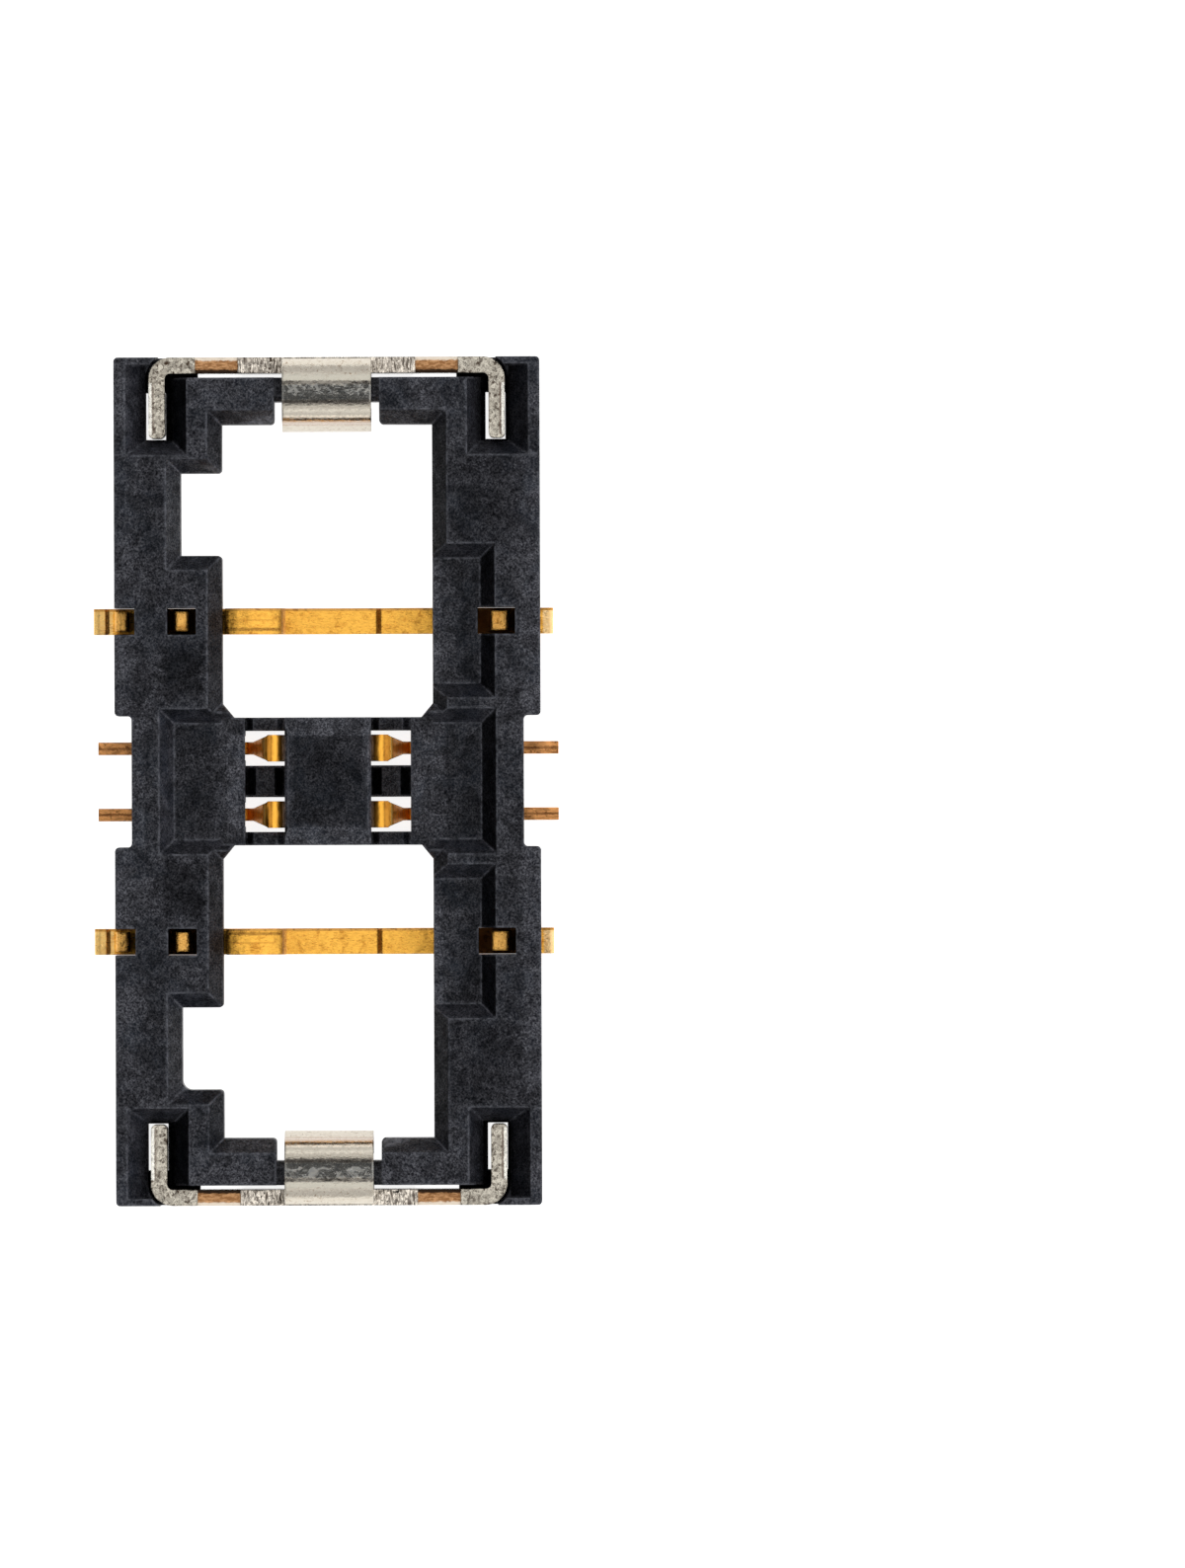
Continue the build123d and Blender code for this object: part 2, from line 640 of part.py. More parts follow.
# Rear hold-down: end strip, two bent legs and a saddle folded over the end wall
with BuildPart() as hold_down_rear:
    half_bracket = bracket_sheet / 2
    with BuildLine() as strip:
        FilletPolyline(
            (-leg_outer + half_bracket, leg_end),
            (-leg_outer + half_bracket, half_length - half_bracket),
            (leg_outer - half_bracket, half_length - half_bracket),
            (leg_outer - half_bracket, leg_end),
            radius=leg_bend + half_bracket,
        )
    with BuildSketch(Plane(origin=strip.line @ 0, x_dir=(1, 0, 0), z_dir=strip.line % 0)):
        with Locations((0, -strip_top / 2)):
            Rectangle(bracket_sheet, strip_top)
    sweep()

    # Lower edge: a solder edge in the middle and feet at the legs, raised elsewhere
    solder_half = solder_edge_width / 2
    with BuildSketch(upright(half_length)):
        for side in (1, -1):
            Polygon(
                (side * solder_half, 0),
                (side * (solder_half + solder_edge_slant), pocket_floor),
                (side * (leg_outer + fit_gap), pocket_floor),
                (side * (leg_outer + fit_gap), 0),
            )
    extrude(amount=-leg_reach, both=True, mode=Mode.SUBTRACT)
    with BuildSketch(Plane.XY):
        for side in (1, -1):
            with Locations((side * (leg_outer - bracket_sheet / 2), leg_end + foot_length / 2)):
                Rectangle(bracket_sheet, foot_length)
    extrude(amount=strip_top)

    # Cuts in the upper edge where the carrier straps were parted
    with BuildSketch(upright(half_length)):
        for side in (1, -1):
            with Locations((side * strap_notch_offset, strip_top)):
                Rectangle(strap_notch_width, 2 * strap_notch_depth)
    extrude(amount=bracket_sheet, both=True, mode=Mode.SUBTRACT)

    # Saddle folded up, over the end wall and down inside the opening to a bulging tongue
    bulge_height = (tongue_crease + tongue_bottom) / 2
    with BuildLine(Plane.YZ) as fold:
        FilletPolyline(
            (half_length - half_bracket, strip_top / 2),
            (half_length - half_bracket, saddle_top - half_bracket),
            (saddle_inner + half_bracket, saddle_top - half_bracket),
            (saddle_inner + half_bracket, tongue_crease),
            (saddle_inner + half_bracket - tongue_bulge, bulge_height),
            (saddle_inner + half_bracket, tongue_bottom),
            radius=(
                saddle_outer_bend + half_bracket,
                saddle_inner_bend + half_bracket,
                tongue_bend + half_bracket,
                tongue_bend + half_bracket,
            ),
        )
    with BuildSketch(Plane(origin=fold.line @ 0, x_dir=(1, 0, 0), z_dir=fold.line % 0)):
        Rectangle(2 * saddle_half, bracket_sheet)
    sweep()

    # Tongue: two slits, with the lobe between them set forward and reaching lower
    with BuildSketch(upright(saddle_inner)):
        for side in (1, -1):
            with Locations((side * (tongue_lobe_width + tongue_slit) / 2, 0)):
                Rectangle(tongue_slit, bulge_height, align=(Align.CENTER, Align.MIN))
    extrude(amount=bracket_sheet, both=True, mode=Mode.SUBTRACT)
    lobe_bottom = tongue_bottom - tongue_lobe_drop
    lobe_front = tongue_bulge - tongue_lobe_back
    with BuildSketch(Plane.YZ):
        Polygon(
            (saddle_inner + bracket_sheet - tongue_lobe_step, lobe_bottom),
            (saddle_inner + bracket_sheet - lobe_front, bulge_height),
            (saddle_inner - lobe_front, bulge_height),
            (saddle_inner - tongue_lobe_step, lobe_bottom),
        )
    extrude(amount=tongue_lobe_width / 2, both=True)

    # The ends of the legs are rounded
    leg_ends = hold_down_rear.edges().filter_by(Axis.Z).group_by(Axis.Y)[0]
    fillet(leg_ends, radius=leg_end_round)
hold_down_rear.part.label = "hold_down_rear"

with BuildPart() as hold_down_front:
    mirror(hold_down_rear.part, about=Plane.XZ)
hold_down_front.part.label = "hold_down_front"


os.makedirs("parts", exist_ok=True)
export_step(housing.part, "parts/housing.step")
export_step(hold_down_rear.part, "parts/hold_down_rear.step")
export_step(hold_down_front.part, "parts/hold_down_front.step")

for end, end_name in ((1, "rear"), (-1, "front")):
    power = power_contact(end * power_pitch / 2)
    power.part.label = f"power_contact_{end_name}"
    export_step(power.part, f"parts/power_contact_{end_name}.step")

    signal_right = signal_contact(end * signal_pitch / 2)
    signal_right.part.label = f"signal_contact_{end_name}_right"
    export_step(signal_right.part, f"parts/signal_contact_{end_name}_right.step")

    with BuildPart() as signal_left:
        mirror(signal_right.part, about=Plane.YZ)
    signal_left.part.label = f"signal_contact_{end_name}_left"
    export_step(signal_left.part, f"parts/signal_contact_{end_name}_left.step")
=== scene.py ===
"""Looks of a small board receptacle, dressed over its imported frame. All lengths are in metres."""

import logging
import math
from abc import ABC, abstractmethod
from dataclasses import dataclass, replace
from enum import Enum
from typing import ClassVar

import bmesh
import bpy
from mathutils import Matrix, Vector


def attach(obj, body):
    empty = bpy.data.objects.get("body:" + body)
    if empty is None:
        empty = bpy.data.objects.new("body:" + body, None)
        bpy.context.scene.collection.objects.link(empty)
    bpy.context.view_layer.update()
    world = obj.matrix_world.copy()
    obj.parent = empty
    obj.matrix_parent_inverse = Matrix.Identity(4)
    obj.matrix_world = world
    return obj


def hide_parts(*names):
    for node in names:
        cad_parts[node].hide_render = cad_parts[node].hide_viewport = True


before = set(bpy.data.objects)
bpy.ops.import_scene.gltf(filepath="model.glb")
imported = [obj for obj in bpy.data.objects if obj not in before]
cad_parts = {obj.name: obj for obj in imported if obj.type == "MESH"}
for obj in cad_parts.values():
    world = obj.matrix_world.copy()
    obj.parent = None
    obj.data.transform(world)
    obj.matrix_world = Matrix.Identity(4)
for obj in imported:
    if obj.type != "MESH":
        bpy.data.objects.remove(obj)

log = logging.getLogger("receptacle")
MILLIMETRE = 0.001
MICRON = 0.000001
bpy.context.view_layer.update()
ROOT = "root"

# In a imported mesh, points this close are one, and faces turned this little are flat
MERGE_REACH = 0.2 * MICRON
FLAT_TURN = math.radians(1.0)

# Places of a colour mix's sockets, whose names aren't unique
MIX_SHARE, MIX_FIRST, MIX_SECOND, MIX_RESULT = 0, 6, 7, 2

# Rays for each look-up of a rounded edge
EDGE_SAMPLES = 6

Socket = bpy.types.NodeSocket
Value = bpy.types.NodeSocket | float
Span = tuple[float, float]
Colour = tuple[float, float, float, float]
Triple = tuple[float, float, float]


def span(low: float, high: float) -> Span:
    """Turns two limits in millimetres into metres."""
    return low * MILLIMETRE, high * MILLIMETRE


def both_sides(low: float, high: float) -> tuple[Span, Span]:
    """Gives two limits in millimetres on the right, and their mirror image on the left."""
    return span(low, high), span(-high, -low)


class Slot(Enum):
    """Material slots of the record."""

    HOUSING = "housing"
    GOLD = "contact_gold"
    PLATING = "bracket_plating"


class End(Enum):
    """Which end of the part a piece belongs to, as the sign of its Y."""

    REAR = 1
    FRONT = -1


class Side(Enum):
    """Which side of the part a piece belongs to, as the sign of its X."""

    RIGHT = 1
    LEFT = -1


@dataclass(frozen=True)
class Zone:
    """A soft box on the part, the same at both ends, with a stirred outline.

    Attributes:
        x: Limits across the part.
        y: Limits of the distance from the middle, along the part.
        soft: Half width of the soft step at each limit.
        stir_cell: Cell of the outline's stirring, in soft steps.
        stir_reach: How far the stirring moves the outline, in soft steps.
    """

    x: Span
    y: Span
    soft: float = 25 * MICRON
    stir_cell: float = 2.5
    stir_reach: float = 4.0


@dataclass(frozen=True)
class Tint:
    """A shade laid over a finish inside a zone.

    Attributes:
        zone: Where it lies.
        colour: The shade.
        share: Its share of the colour where the grain is low.
        thinned: What is left of that share where the grain is high.
        grain_range: Where the grain is low and where it is high.
    """

    zone: Zone
    colour: Colour
    share: float
    thinned: float = 0.7
    grain_range: Span = (0.3, 0.6)


# Tones paint light and shade: a gain over 1 is painted light, one under 1 is painted shade
@dataclass(frozen=True)
class Tone:
    """A gain on a finish's brightness inside a zone."""

    zone: Zone
    gain: float


class NodeBoard:
    """A node tree, with short calls that each add one step."""

    def __init__(self, tree: bpy.types.NodeTree) -> None:
        """Empties the tree.

        Args:
            tree: The tree to build in.
        """
        self.tree = tree
        tree.nodes.clear()

    def node(self, kind: str, **settings: object) -> bpy.types.Node:
        """Adds a node.

        Args:
            kind: The node's type name.
            settings: Properties of the node, by name.

        Returns:
            The new node.
        """
        made = self.tree.nodes.new(kind)
        for name, value in settings.items():
            setattr(made, name, value)
        return made

    def feed(self, socket: Socket, value: Value | tuple[float, ...]) -> None:
        """Links a socket to another one, or sets it to a plain value.

        Args:
            socket: The input to feed.
            value: An output socket, a number or a tuple.
        """
        if isinstance(value, bpy.types.NodeSocket):
            self.tree.links.new(value, socket)
        else:
            socket.default_value = value

    def spread(self, value: Socket, limits: Span, results: tuple[Value, Value] = (0.0, 1.0)) -> Socket:
        """Maps a value smoothly from one range onto another, clamped at both ends.

        Args:
            value: The value to map.
            limits: Start and end of the range it comes in.
            results: Result at the start and at the end.

        Returns:
            The mapped value.
        """
        made = self.node("ShaderNodeMapRange", interpolation_type="SMOOTHSTEP")
        self.feed(made.inputs["Value"], value)
        for name, number in zip(("From Min", "From Max", "To Min", "To Max"), (*limits, *results)):
            self.feed(made.inputs[name], number)
        return made.outputs["Result"]

    def math(self, operation: str, first: Value, second: Value = 0.0, third: Value = 0.0) -> Socket:
        """Joins values by arithmetic.

        Args:
            operation: Name of the operation.
            first: First socket or number.
            second: Second socket or number, where the operation takes one.
            third: Third socket or number, where the operation takes one.

        Returns:
            The result.
        """
        made = self.node("ShaderNodeMath", operation=operation)
        for socket, value in zip(made.inputs, (first, second, third)):
            self.feed(socket, value)
        return made.outputs["Value"]


class SurfaceBoard(NodeBoard):
    """A material's node tree, with the steps that a finish is made of."""

    def __init__(self, name: str) -> None:
        """Starts an empty material that reads Object coordinates.

        Args:
            name: The material's name.
        """
        self.material = bpy.data.materials.new(name)
        self.material.use_nodes = True
        super().__init__(self.material.node_tree)
        self.place = self.node("ShaderNodeTexCoord").outputs["Object"]
        split = self.node("ShaderNodeSeparateXYZ")
        self.feed(split.inputs[0], self.place)
        self.across = split.outputs["X"]
        self.along = split.outputs["Y"]

    def stretch(self, cell: Triple, turn: float = 0.0) -> Socket:
        """Scales and turns the coordinates, so that a pattern runs along one direction.

        Args:
            cell: Size of one cell along X, Y and Z.
            turn: Turn about Z, in radians.

        Returns:
            The mapped coordinates, in cells.
        """
        mapping = self.node("ShaderNodeMapping", vector_type="TEXTURE" if turn else "POINT")
        self.feed(mapping.inputs["Vector"], self.place)
        self.feed(mapping.inputs["Rotation"], (0.0, 0.0, turn))
        self.feed(mapping.inputs["Scale"], cell if turn else tuple(1.0 / size for size in cell))
        return mapping.outputs["Vector"]

    def noise(
        self,
        cell: float = 1.0,
        detail: float = 3.0,
        roughness: float = 0.6,
        distortion: float = 0.0,
        place: Socket | None = None,
    ) -> Socket:
        """Adds a noise pattern.

        Args:
            cell: Size of one cell, or 1 where the place is already in cells.
            detail: Octaves of finer noise.
            roughness: Share of each finer octave.
            distortion: How far the pattern is stirred.
            place: Mapped coordinates, or None for the plain ones.

        Returns:
            The pattern's factor, from 0 to 1.
        """
        made = self.node("ShaderNodeTexNoise")
        self.feed(made.inputs["Vector"], place or self.place)
        self.feed(made.inputs["Scale"], 1.0 / cell)
        self.feed(made.inputs["Detail"], detail)
        self.feed(made.inputs["Roughness"], roughness)
        self.feed(made.inputs["Distortion"], distortion)
        return made.outputs["Fac"]

    def stir(self, cell: float, reach: float, detail: float = 3.0) -> Socket:
        """Adds a shift that wavers about nought.

        Args:
            cell: Size of one cell.
            reach: Width of the band that it wavers in.
            detail: Octaves of finer noise.

        Returns:
            The shift.
        """
        centred = self.math("SUBTRACT", self.noise(cell, detail=detail), 0.5)
        return self.math("MULTIPLY", centred, reach)

    def blend(self, share: Value, first: Socket | Colour, second: Socket | Colour) -> Socket:
        """Blends two colours.

        Args:
            share: Share of the second colour.
            first: First colour.
            second: Second colour.

        Returns:
            The blended colour.
        """
        made = self.node("ShaderNodeMix", data_type="RGBA")
        self.feed(made.inputs[MIX_SHARE], share)
        self.feed(made.inputs[MIX_FIRST], first)
        self.feed(made.inputs[MIX_SECOND], second)
        return made.outputs[MIX_RESULT]

    def scaled(self, colour: Socket, gain: Socket) -> Socket:
        """Multiplies a colour by a gain.

        Args:
            colour: The colour.
            gain: The gain.

        Returns:
            The brighter or darker colour.
        """
        made = self.node("ShaderNodeVectorMath", operation="SCALE")
        self.feed(made.inputs[0], colour)
        self.feed(made.inputs["Scale"], gain)
        return made.outputs["Vector"]

    def dent(self, height: Socket, depth: float, over: Socket, strength: Value = 1.0) -> Socket:
        """Turns a height pattern into a bent normal.

        Args:
            height: The pattern, from 0 to 1.
            depth: Height of the pattern.
            over: The normal that this one is laid over.
            strength: Share of the effect.

        Returns:
            The normal.
        """
        made = self.node("ShaderNodeBump")
        self.feed(made.inputs["Strength"], strength)
        self.feed(made.inputs["Distance"], depth)
        self.feed(made.inputs["Height"], height)
        self.feed(made.inputs["Normal"], over)
        return made.outputs["Normal"]

    def eased(self, radius: float) -> Socket:
        """Rounds the edges of the surface in its shading.

        Args:
            radius: Radius of the rounding.

        Returns:
            The normal of the rounded surface.
        """
        made = self.node("ShaderNodeBevel", samples=EDGE_SAMPLES)
        self.feed(made.inputs["Radius"], radius)
        return made.outputs["Normal"]

    def near_edge(self, eased: Socket, limits: Span) -> Socket:
        """Finds the neighbourhood of an edge, where the rounded normal leaves the flat one.

        Args:
            eased: The rounded normal.
            limits: Deviation at which the neighbourhood starts, and at which it is full.

        Returns:
            1 on the edge, 0 away from it.
        """
        flat = self.node("ShaderNodeNewGeometry").outputs["True Normal"]
        turn = self.node("ShaderNodeVectorMath", operation="DOT_PRODUCT")
        self.feed(turn.inputs[0], eased)
        self.feed(turn.inputs[1], flat)
        return self.spread(self.math("SUBTRACT", 1.0, turn.outputs["Value"]), limits)

    def above(self, value: Socket, limit: float, soft: float) -> Socket:
        """Gives 1 where a value is over a limit, 0 where it is under."""
        return self.spread(value, (limit - soft, limit + soft))

    def below(self, value: Socket, limit: float, soft: float) -> Socket:
        """Gives 1 where a value is under a limit, 0 where it is over."""
        return self.spread(value, (limit - soft, limit + soft), (1.0, 0.0))

    def inside(self, value: Socket, limits: Span, soft: float) -> Socket:
        """Finds where a value lies between two limits.

        Args:
            value: The value.
            limits: The low and the high limit.
            soft: Half width of the soft step at each limit.

        Returns:
            1 between the limits, 0 outside.
        """
        low, high = limits
        return self.math("MULTIPLY", self.above(value, low, soft), self.below(value, high, soft))

    def zone(self, zone: Zone) -> Socket:
        """Finds where the surface lies in a zone.

        Args:
            zone: The zone.

        Returns:
            1 inside the zone, 0 outside.
        """
        shift = self.stir(zone.soft * zone.stir_cell, zone.soft * zone.stir_reach, detail=2.0)
        across = self.math("ADD", self.across, shift)
        along = self.math("ADD", self.math("ABSOLUTE", self.along), shift)
        return self.math(
            "MULTIPLY", self.inside(across, zone.x, zone.soft), self.inside(along, zone.y, zone.soft)
        )

    def tinted(self, colour: Socket, grain: Socket, tints: tuple[Tint, ...]) -> Socket:
        """Lays shades over a colour inside their zones, thinner where the grain is high.

        Args:
            colour: The colour beneath.
            grain: The finish's grain.
            tints: The shades.

        Returns:
            The tinted colour.
        """
        for tint in tints:
            share = self.spread(grain, tint.grain_range, (tint.share, tint.share * tint.thinned))
            colour = self.blend(self.math("MULTIPLY", self.zone(tint.zone), share), colour, tint.colour)
        return colour

    def gain(self, base: float, tones: tuple[Tone, ...]) -> Socket:
        """Works out how much brighter or darker the finish is at each place.

        Args:
            base: Gain outside all zones.
            tones: Gains inside zones.

        Returns:
            The gain.
        """
        gain = self.math("ADD", base, 0.0)
        for tone in tones:
            here = self.math("MULTIPLY_ADD", self.zone(tone.zone), tone.gain - 1.0, 1.0)
            gain = self.math("MULTIPLY", gain, here)
        return gain

    def surface(
        self,
        colour: Socket | Colour,
        roughness: Value,
        normal: Socket | None = None,
        **others: Value | Colour,
    ) -> bpy.types.Material:
        """Ends the tree with its shader.

        Args:
            colour: Base colour.
            roughness: Roughness.
            normal: Normal, or None for the plain one.
            others: Values of further shader sockets, by name with underscores.

        Returns:
            The finished material.
        """
        shader = self.node("ShaderNodeBsdfPrincipled")
        self.feed(shader.inputs["Base Color"], colour)
        self.feed(shader.inputs["Roughness"], roughness)
        if normal is not None:
            self.feed(shader.inputs["Normal"], normal)
        for name, value in others.items():
            self.feed(shader.inputs[name.replace("_", " ")], value)
        output = self.node("ShaderNodeOutputMaterial")
        self.feed(output.inputs["Surface"], shader.outputs["BSDF"])
        return self.material


@dataclass(frozen=True)
class MouldedResin:
    """Charcoal filled resin with a fine grey speckle and short fibre streaks.

    Attributes:
        name: The material's name.
        dark, pale: Colours between the specks and on them.
        cool, cool_share: Bluish cast of the clouds, and its largest share.
        stain_and_painted_edge_light, painted_edge_light_share: Colour of the painted highlight on the
        edges, and its largest share.
        grain: Cell of the speckle.
        fibre, fibre_turns, fibre_share: Width and length of a fibre, its two directions in degrees,
            and how much the fibres count against the grain.
        mark_range: Speckle at which a speck starts, and at which it is full.
        mottle, mottle_range, mottle_gain: Cell, range and gains of the blotches.
        cloud, cool_range, cloud_range: Cell of the clouds, and their ranges for cast and roughness.
        roughness: Roughness outside the clouds and in them.
        relief: Height of the speckle.
        shine: Specular level between the specks and on them.
        edge, edge_range: Rounding of the edges, and the deviation over which the painted highlight sets
            in.
        edge_light_break, edge_light_break_range, edge_light_floor: Cell and range of the noise that
        breaks up the painted highlight, and the least share of it.
        gain, tones: Brightness of the whole and of zones of it; these gains paint light and shade.
    """

    name: str
    dark: Colour = (0.0026, 0.0030, 0.0046, 1.0)
    pale: Colour = (0.061, 0.062, 0.074, 1.0)
    cool: Colour = (0.007, 0.010, 0.016, 1.0)
    cool_share: float = 0.5
    stain_and_painted_edge_light: Colour = (0.150, 0.155, 0.180, 1.0)
    painted_edge_light_share: float = 0.75
    grain: float = 12 * MICRON
    fibre: Span = (7 * MICRON, 26 * MICRON)
    fibre_turns: Span = (38.0, -27.0)
    fibre_share: float = 0.4
    mark_range: Span = (0.38, 0.73)
    mottle: float = 95 * MICRON
    mottle_range: Span = (0.36, 0.64)
    mottle_gain: Span = (0.62, 1.38)
    cloud: float = 260 * MICRON
    cool_range: Span = (0.42, 0.66)
    cloud_range: Span = (0.35, 0.65)
    roughness: Span = (0.50, 0.36)
    relief: float = 7 * MICRON
    shine: Span = (0.03, 0.36)
    edge: float = 28 * MICRON
    edge_range: Span = (0.002, 0.09)
    edge_light_break: float = 38 * MICRON
    edge_light_break_range: Span = (0.38, 0.62)
    edge_light_floor: float = 0.15
    gain: float = 1.0
    tones: tuple[Tone, ...] = ()

    def speckle(self, board: SurfaceBoard) -> Socket:
        """Adds the speckle, of grain and crossing fibres.

        Args:
            board: The board to add it to.

        Returns:
            The speckle, from 0 to 1.
        """
        narrow, long = self.fibre
        grain = board.noise(self.grain, detail=2.5, roughness=0.75)
        places = [board.stretch((narrow, long, narrow), math.radians(turn)) for turn in self.fibre_turns]
        streaks = [board.noise(detail=2.0, distortion=0.5, place=place) for place in places]
        grain = board.math("MULTIPLY", grain, 1 - self.fibre_share)
        return board.math("MULTIPLY_ADD", board.math("MAXIMUM", *streaks), self.fibre_share, grain)

    def material(self) -> bpy.types.Material:
        """Builds the resin.

        Returns:
            The material.
        """
        board = SurfaceBoard(self.name)
        speckle = self.speckle(board)
        cloud = board.noise(self.cloud, detail=4.0, distortion=0.4)
        mark = board.spread(speckle, self.mark_range)
        cool = board.spread(cloud, self.cool_range, (0.0, self.cool_share))
        colour = board.blend(cool, board.blend(mark, self.dark, self.pale), self.cool)
        mottle = board.noise(self.mottle, detail=4.0, roughness=0.65, distortion=0.8)
        mottled = board.spread(mottle, self.mottle_range, self.mottle_gain)
        # The gains of the whole and of the zones paint light and shade; the blotches vary the tone at
        # random
        gain = board.math("MULTIPLY", board.gain(self.gain, self.tones), mottled)
        eased = board.eased(self.edge)
        # Painted highlight: a pale bluish line along the rounded edges, broken up by noise
        edge_light_break = board.noise(self.edge_light_break, detail=4.0)
        broken_edge_light = board.spread(edge_light_break, self.edge_light_break_range, (self.edge_light_floor * self.painted_edge_light_share, self.painted_edge_light_share))
        stain_and_painted_edge_light = board.math("MULTIPLY", board.near_edge(eased, self.edge_range), broken_edge_light)
        colour = board.blend(stain_and_painted_edge_light, board.scaled(colour, gain), self.stain_and_painted_edge_light)
        roughness = board.spread(cloud, self.cloud_range, self.roughness)
        shine = board.math("MULTIPLY", board.spread(mark, (0.0, 1.0), self.shine), gain)
        normal = board.dent(speckle, self.relief, eased)
        return board.surface(colour, roughness, normal, Specular_IOR_Level=shine)


@dataclass(frozen=True)
class Metal:
    """Plated or bare metal with a rolled, sheared or matt surface.

    Attributes:
        name: The material's name.
        bright, dull: Colours of the clean and of the stained surface.
        roughness, grain_range: Roughness where the grain is low and where it is high, and where that is.
        grain, relief: Size of the grain along X, Y and Z, and its height.
        wave, wave_relief, wave_detail: Cell, height and octaves of the waves.
        stain, stain_range: Cell of the stains, and the range over which they set in.
        worn_range, worn_floor: Range of the grain that thins the stains, and the least share left.
        streak, streak_range: Share of the stain in low grain, and the range over which it fades.
        edge: Rounding of the edges.
        waved, calm: The one zone with full waves, or None for everywhere, and their share outside it.
        haze, haze_cell, haze_range: Roughness added in patches there, their cell and their range.
        metallic: Share of metal in the shader.
        tints: Colours laid over zones, most of them painted light and shade.
    """

    name: str
    bright: Colour
    dull: Colour
    roughness: Span
    grain_range: Span = (0.3, 0.7)
    grain: Triple = (20 * MICRON, 20 * MICRON, 20 * MICRON)
    relief: float = 5 * MICRON
    wave: float = 90 * MICRON
    wave_relief: float = 14 * MICRON
    wave_detail: float = 1.0
    stain: float = 120 * MICRON
    stain_range: Span = (0.50, 0.62)
    worn_range: Span = (0.35, 0.7)
    worn_floor: float = 0.2
    streak: float = 0.15
    streak_range: Span = (0.36, 0.52)
    edge: float = 10 * MICRON
    waved: Zone | None = None
    calm: float = 0.12
    haze: float = 0.20
    haze_cell: float = 60 * MICRON
    haze_range: Span = (0.50, 0.60)
    metallic: float = 1.0
    tints: tuple[Tint, ...] = ()

    def grained(self, board: SurfaceBoard) -> Socket:
        """Adds the grain, from 0 to 1, to a board."""
        return board.noise(roughness=0.65, place=board.stretch(self.grain))

    def material(self) -> bpy.types.Material:
        """Builds the metal.

        Returns:
            The material.
        """
        board = SurfaceBoard(self.name)
        grain = self.grained(board)
        wave = board.noise(self.wave, detail=self.wave_detail, roughness=0.5)
        stain = board.noise(self.stain, detail=4.0, roughness=0.65, distortion=0.6)
        stain = board.spread(stain, self.stain_range)
        stain_and_painted_edge_light = board.math("MULTIPLY", stain, board.spread(grain, self.worn_range, (self.worn_floor, 1.0)))
        stain_and_painted_edge_light = board.math("MAXIMUM", stain_and_painted_edge_light, board.spread(grain, self.streak_range, (self.streak, 0.0)))
        colour = board.tinted(board.blend(stain_and_painted_edge_light, self.bright, self.dull), grain, self.tints)
        roughness = board.spread(grain, self.grain_range, self.roughness)
        strength = 1.0
        if self.waved is not None:
            here = board.zone(self.waved)
            strength = board.spread(here, (0.0, 1.0), (self.calm, 1.0))
            haze = board.noise(self.haze_cell, distortion=1.0)
            haze = board.spread(haze, self.haze_range, (0.0, self.haze))
            roughness = board.math("ADD", roughness, board.math("MULTIPLY", here, haze))
        waves = board.dent(wave, self.wave_relief, board.eased(self.edge), strength)
        normal = board.dent(grain, self.relief, waves)
        return board.surface(colour, roughness, normal, Metallic=self.metallic)


@dataclass(frozen=True)
class PartedCopper:
    """Raw copper where a carrier strap was parted: a pale plated lip outside, a dark burr inside.

    Attributes:
        name: The material's name.
        copper: The raw metal.
        copper_range: Range of the grain between its dull and its bright colour.
        lip, lip_from: Colour of the lip, and the distance from the middle at which it starts.
        burr, burr_to: Colour of the burr, and the distance from the middle at which it ends.
        soft: Half width of the soft step at each of the two.
        stir_cell, stir_reach: Cell of their stirring, and its reach in soft steps.
    """

    name: str
    copper: Metal
    copper_range: Span = (0.4, 0.62)
    lip: Colour = (0.80, 0.70, 0.58, 1.0)
    lip_from: float = 2.600 * MILLIMETRE
    burr: Colour = (0.035, 0.020, 0.012, 1.0)
    burr_to: float = 2.543 * MILLIMETRE
    soft: float = 5 * MICRON
    stir_cell: float = 28 * MICRON
    stir_reach: float = 5.0

    def material(self) -> bpy.types.Material:
        """Builds the parted metal.

        Returns:
            The material.
        """
        board = SurfaceBoard(self.name)
        grain = self.copper.grained(board)
        shift = board.stir(self.stir_cell, self.stir_reach * self.soft)
        out = board.math("ADD", board.math("ABSOLUTE", board.along), shift)
        colour = board.blend(board.spread(grain, self.copper_range), self.copper.dull, self.copper.bright)
        colour = board.blend(board.above(out, self.lip_from, self.soft), colour, self.lip)
        colour = board.blend(board.below(out, self.burr_to, self.soft), colour, self.burr)
        roughness = board.spread(grain, self.copper.grain_range, self.copper.roughness)
        normal = board.dent(grain, self.copper.relief, board.eased(self.copper.edge))
        return board.surface(colour, roughness, normal, Metallic=self.copper.metallic)


Finish = MouldedResin | Metal | PartedCopper

# Stretches along the part, from its middle outwards, that several zones share
BRIDGE = span(-0.10, 0.30)
BAYS = span(0.60, 1.40)
OPENINGS = span(0.40, 2.30)
FLANKS = span(0.42, 1.90)
END_CORNERS = span(2.00, 2.70)
ISLAND_EDGE = span(-0.10, 0.28)

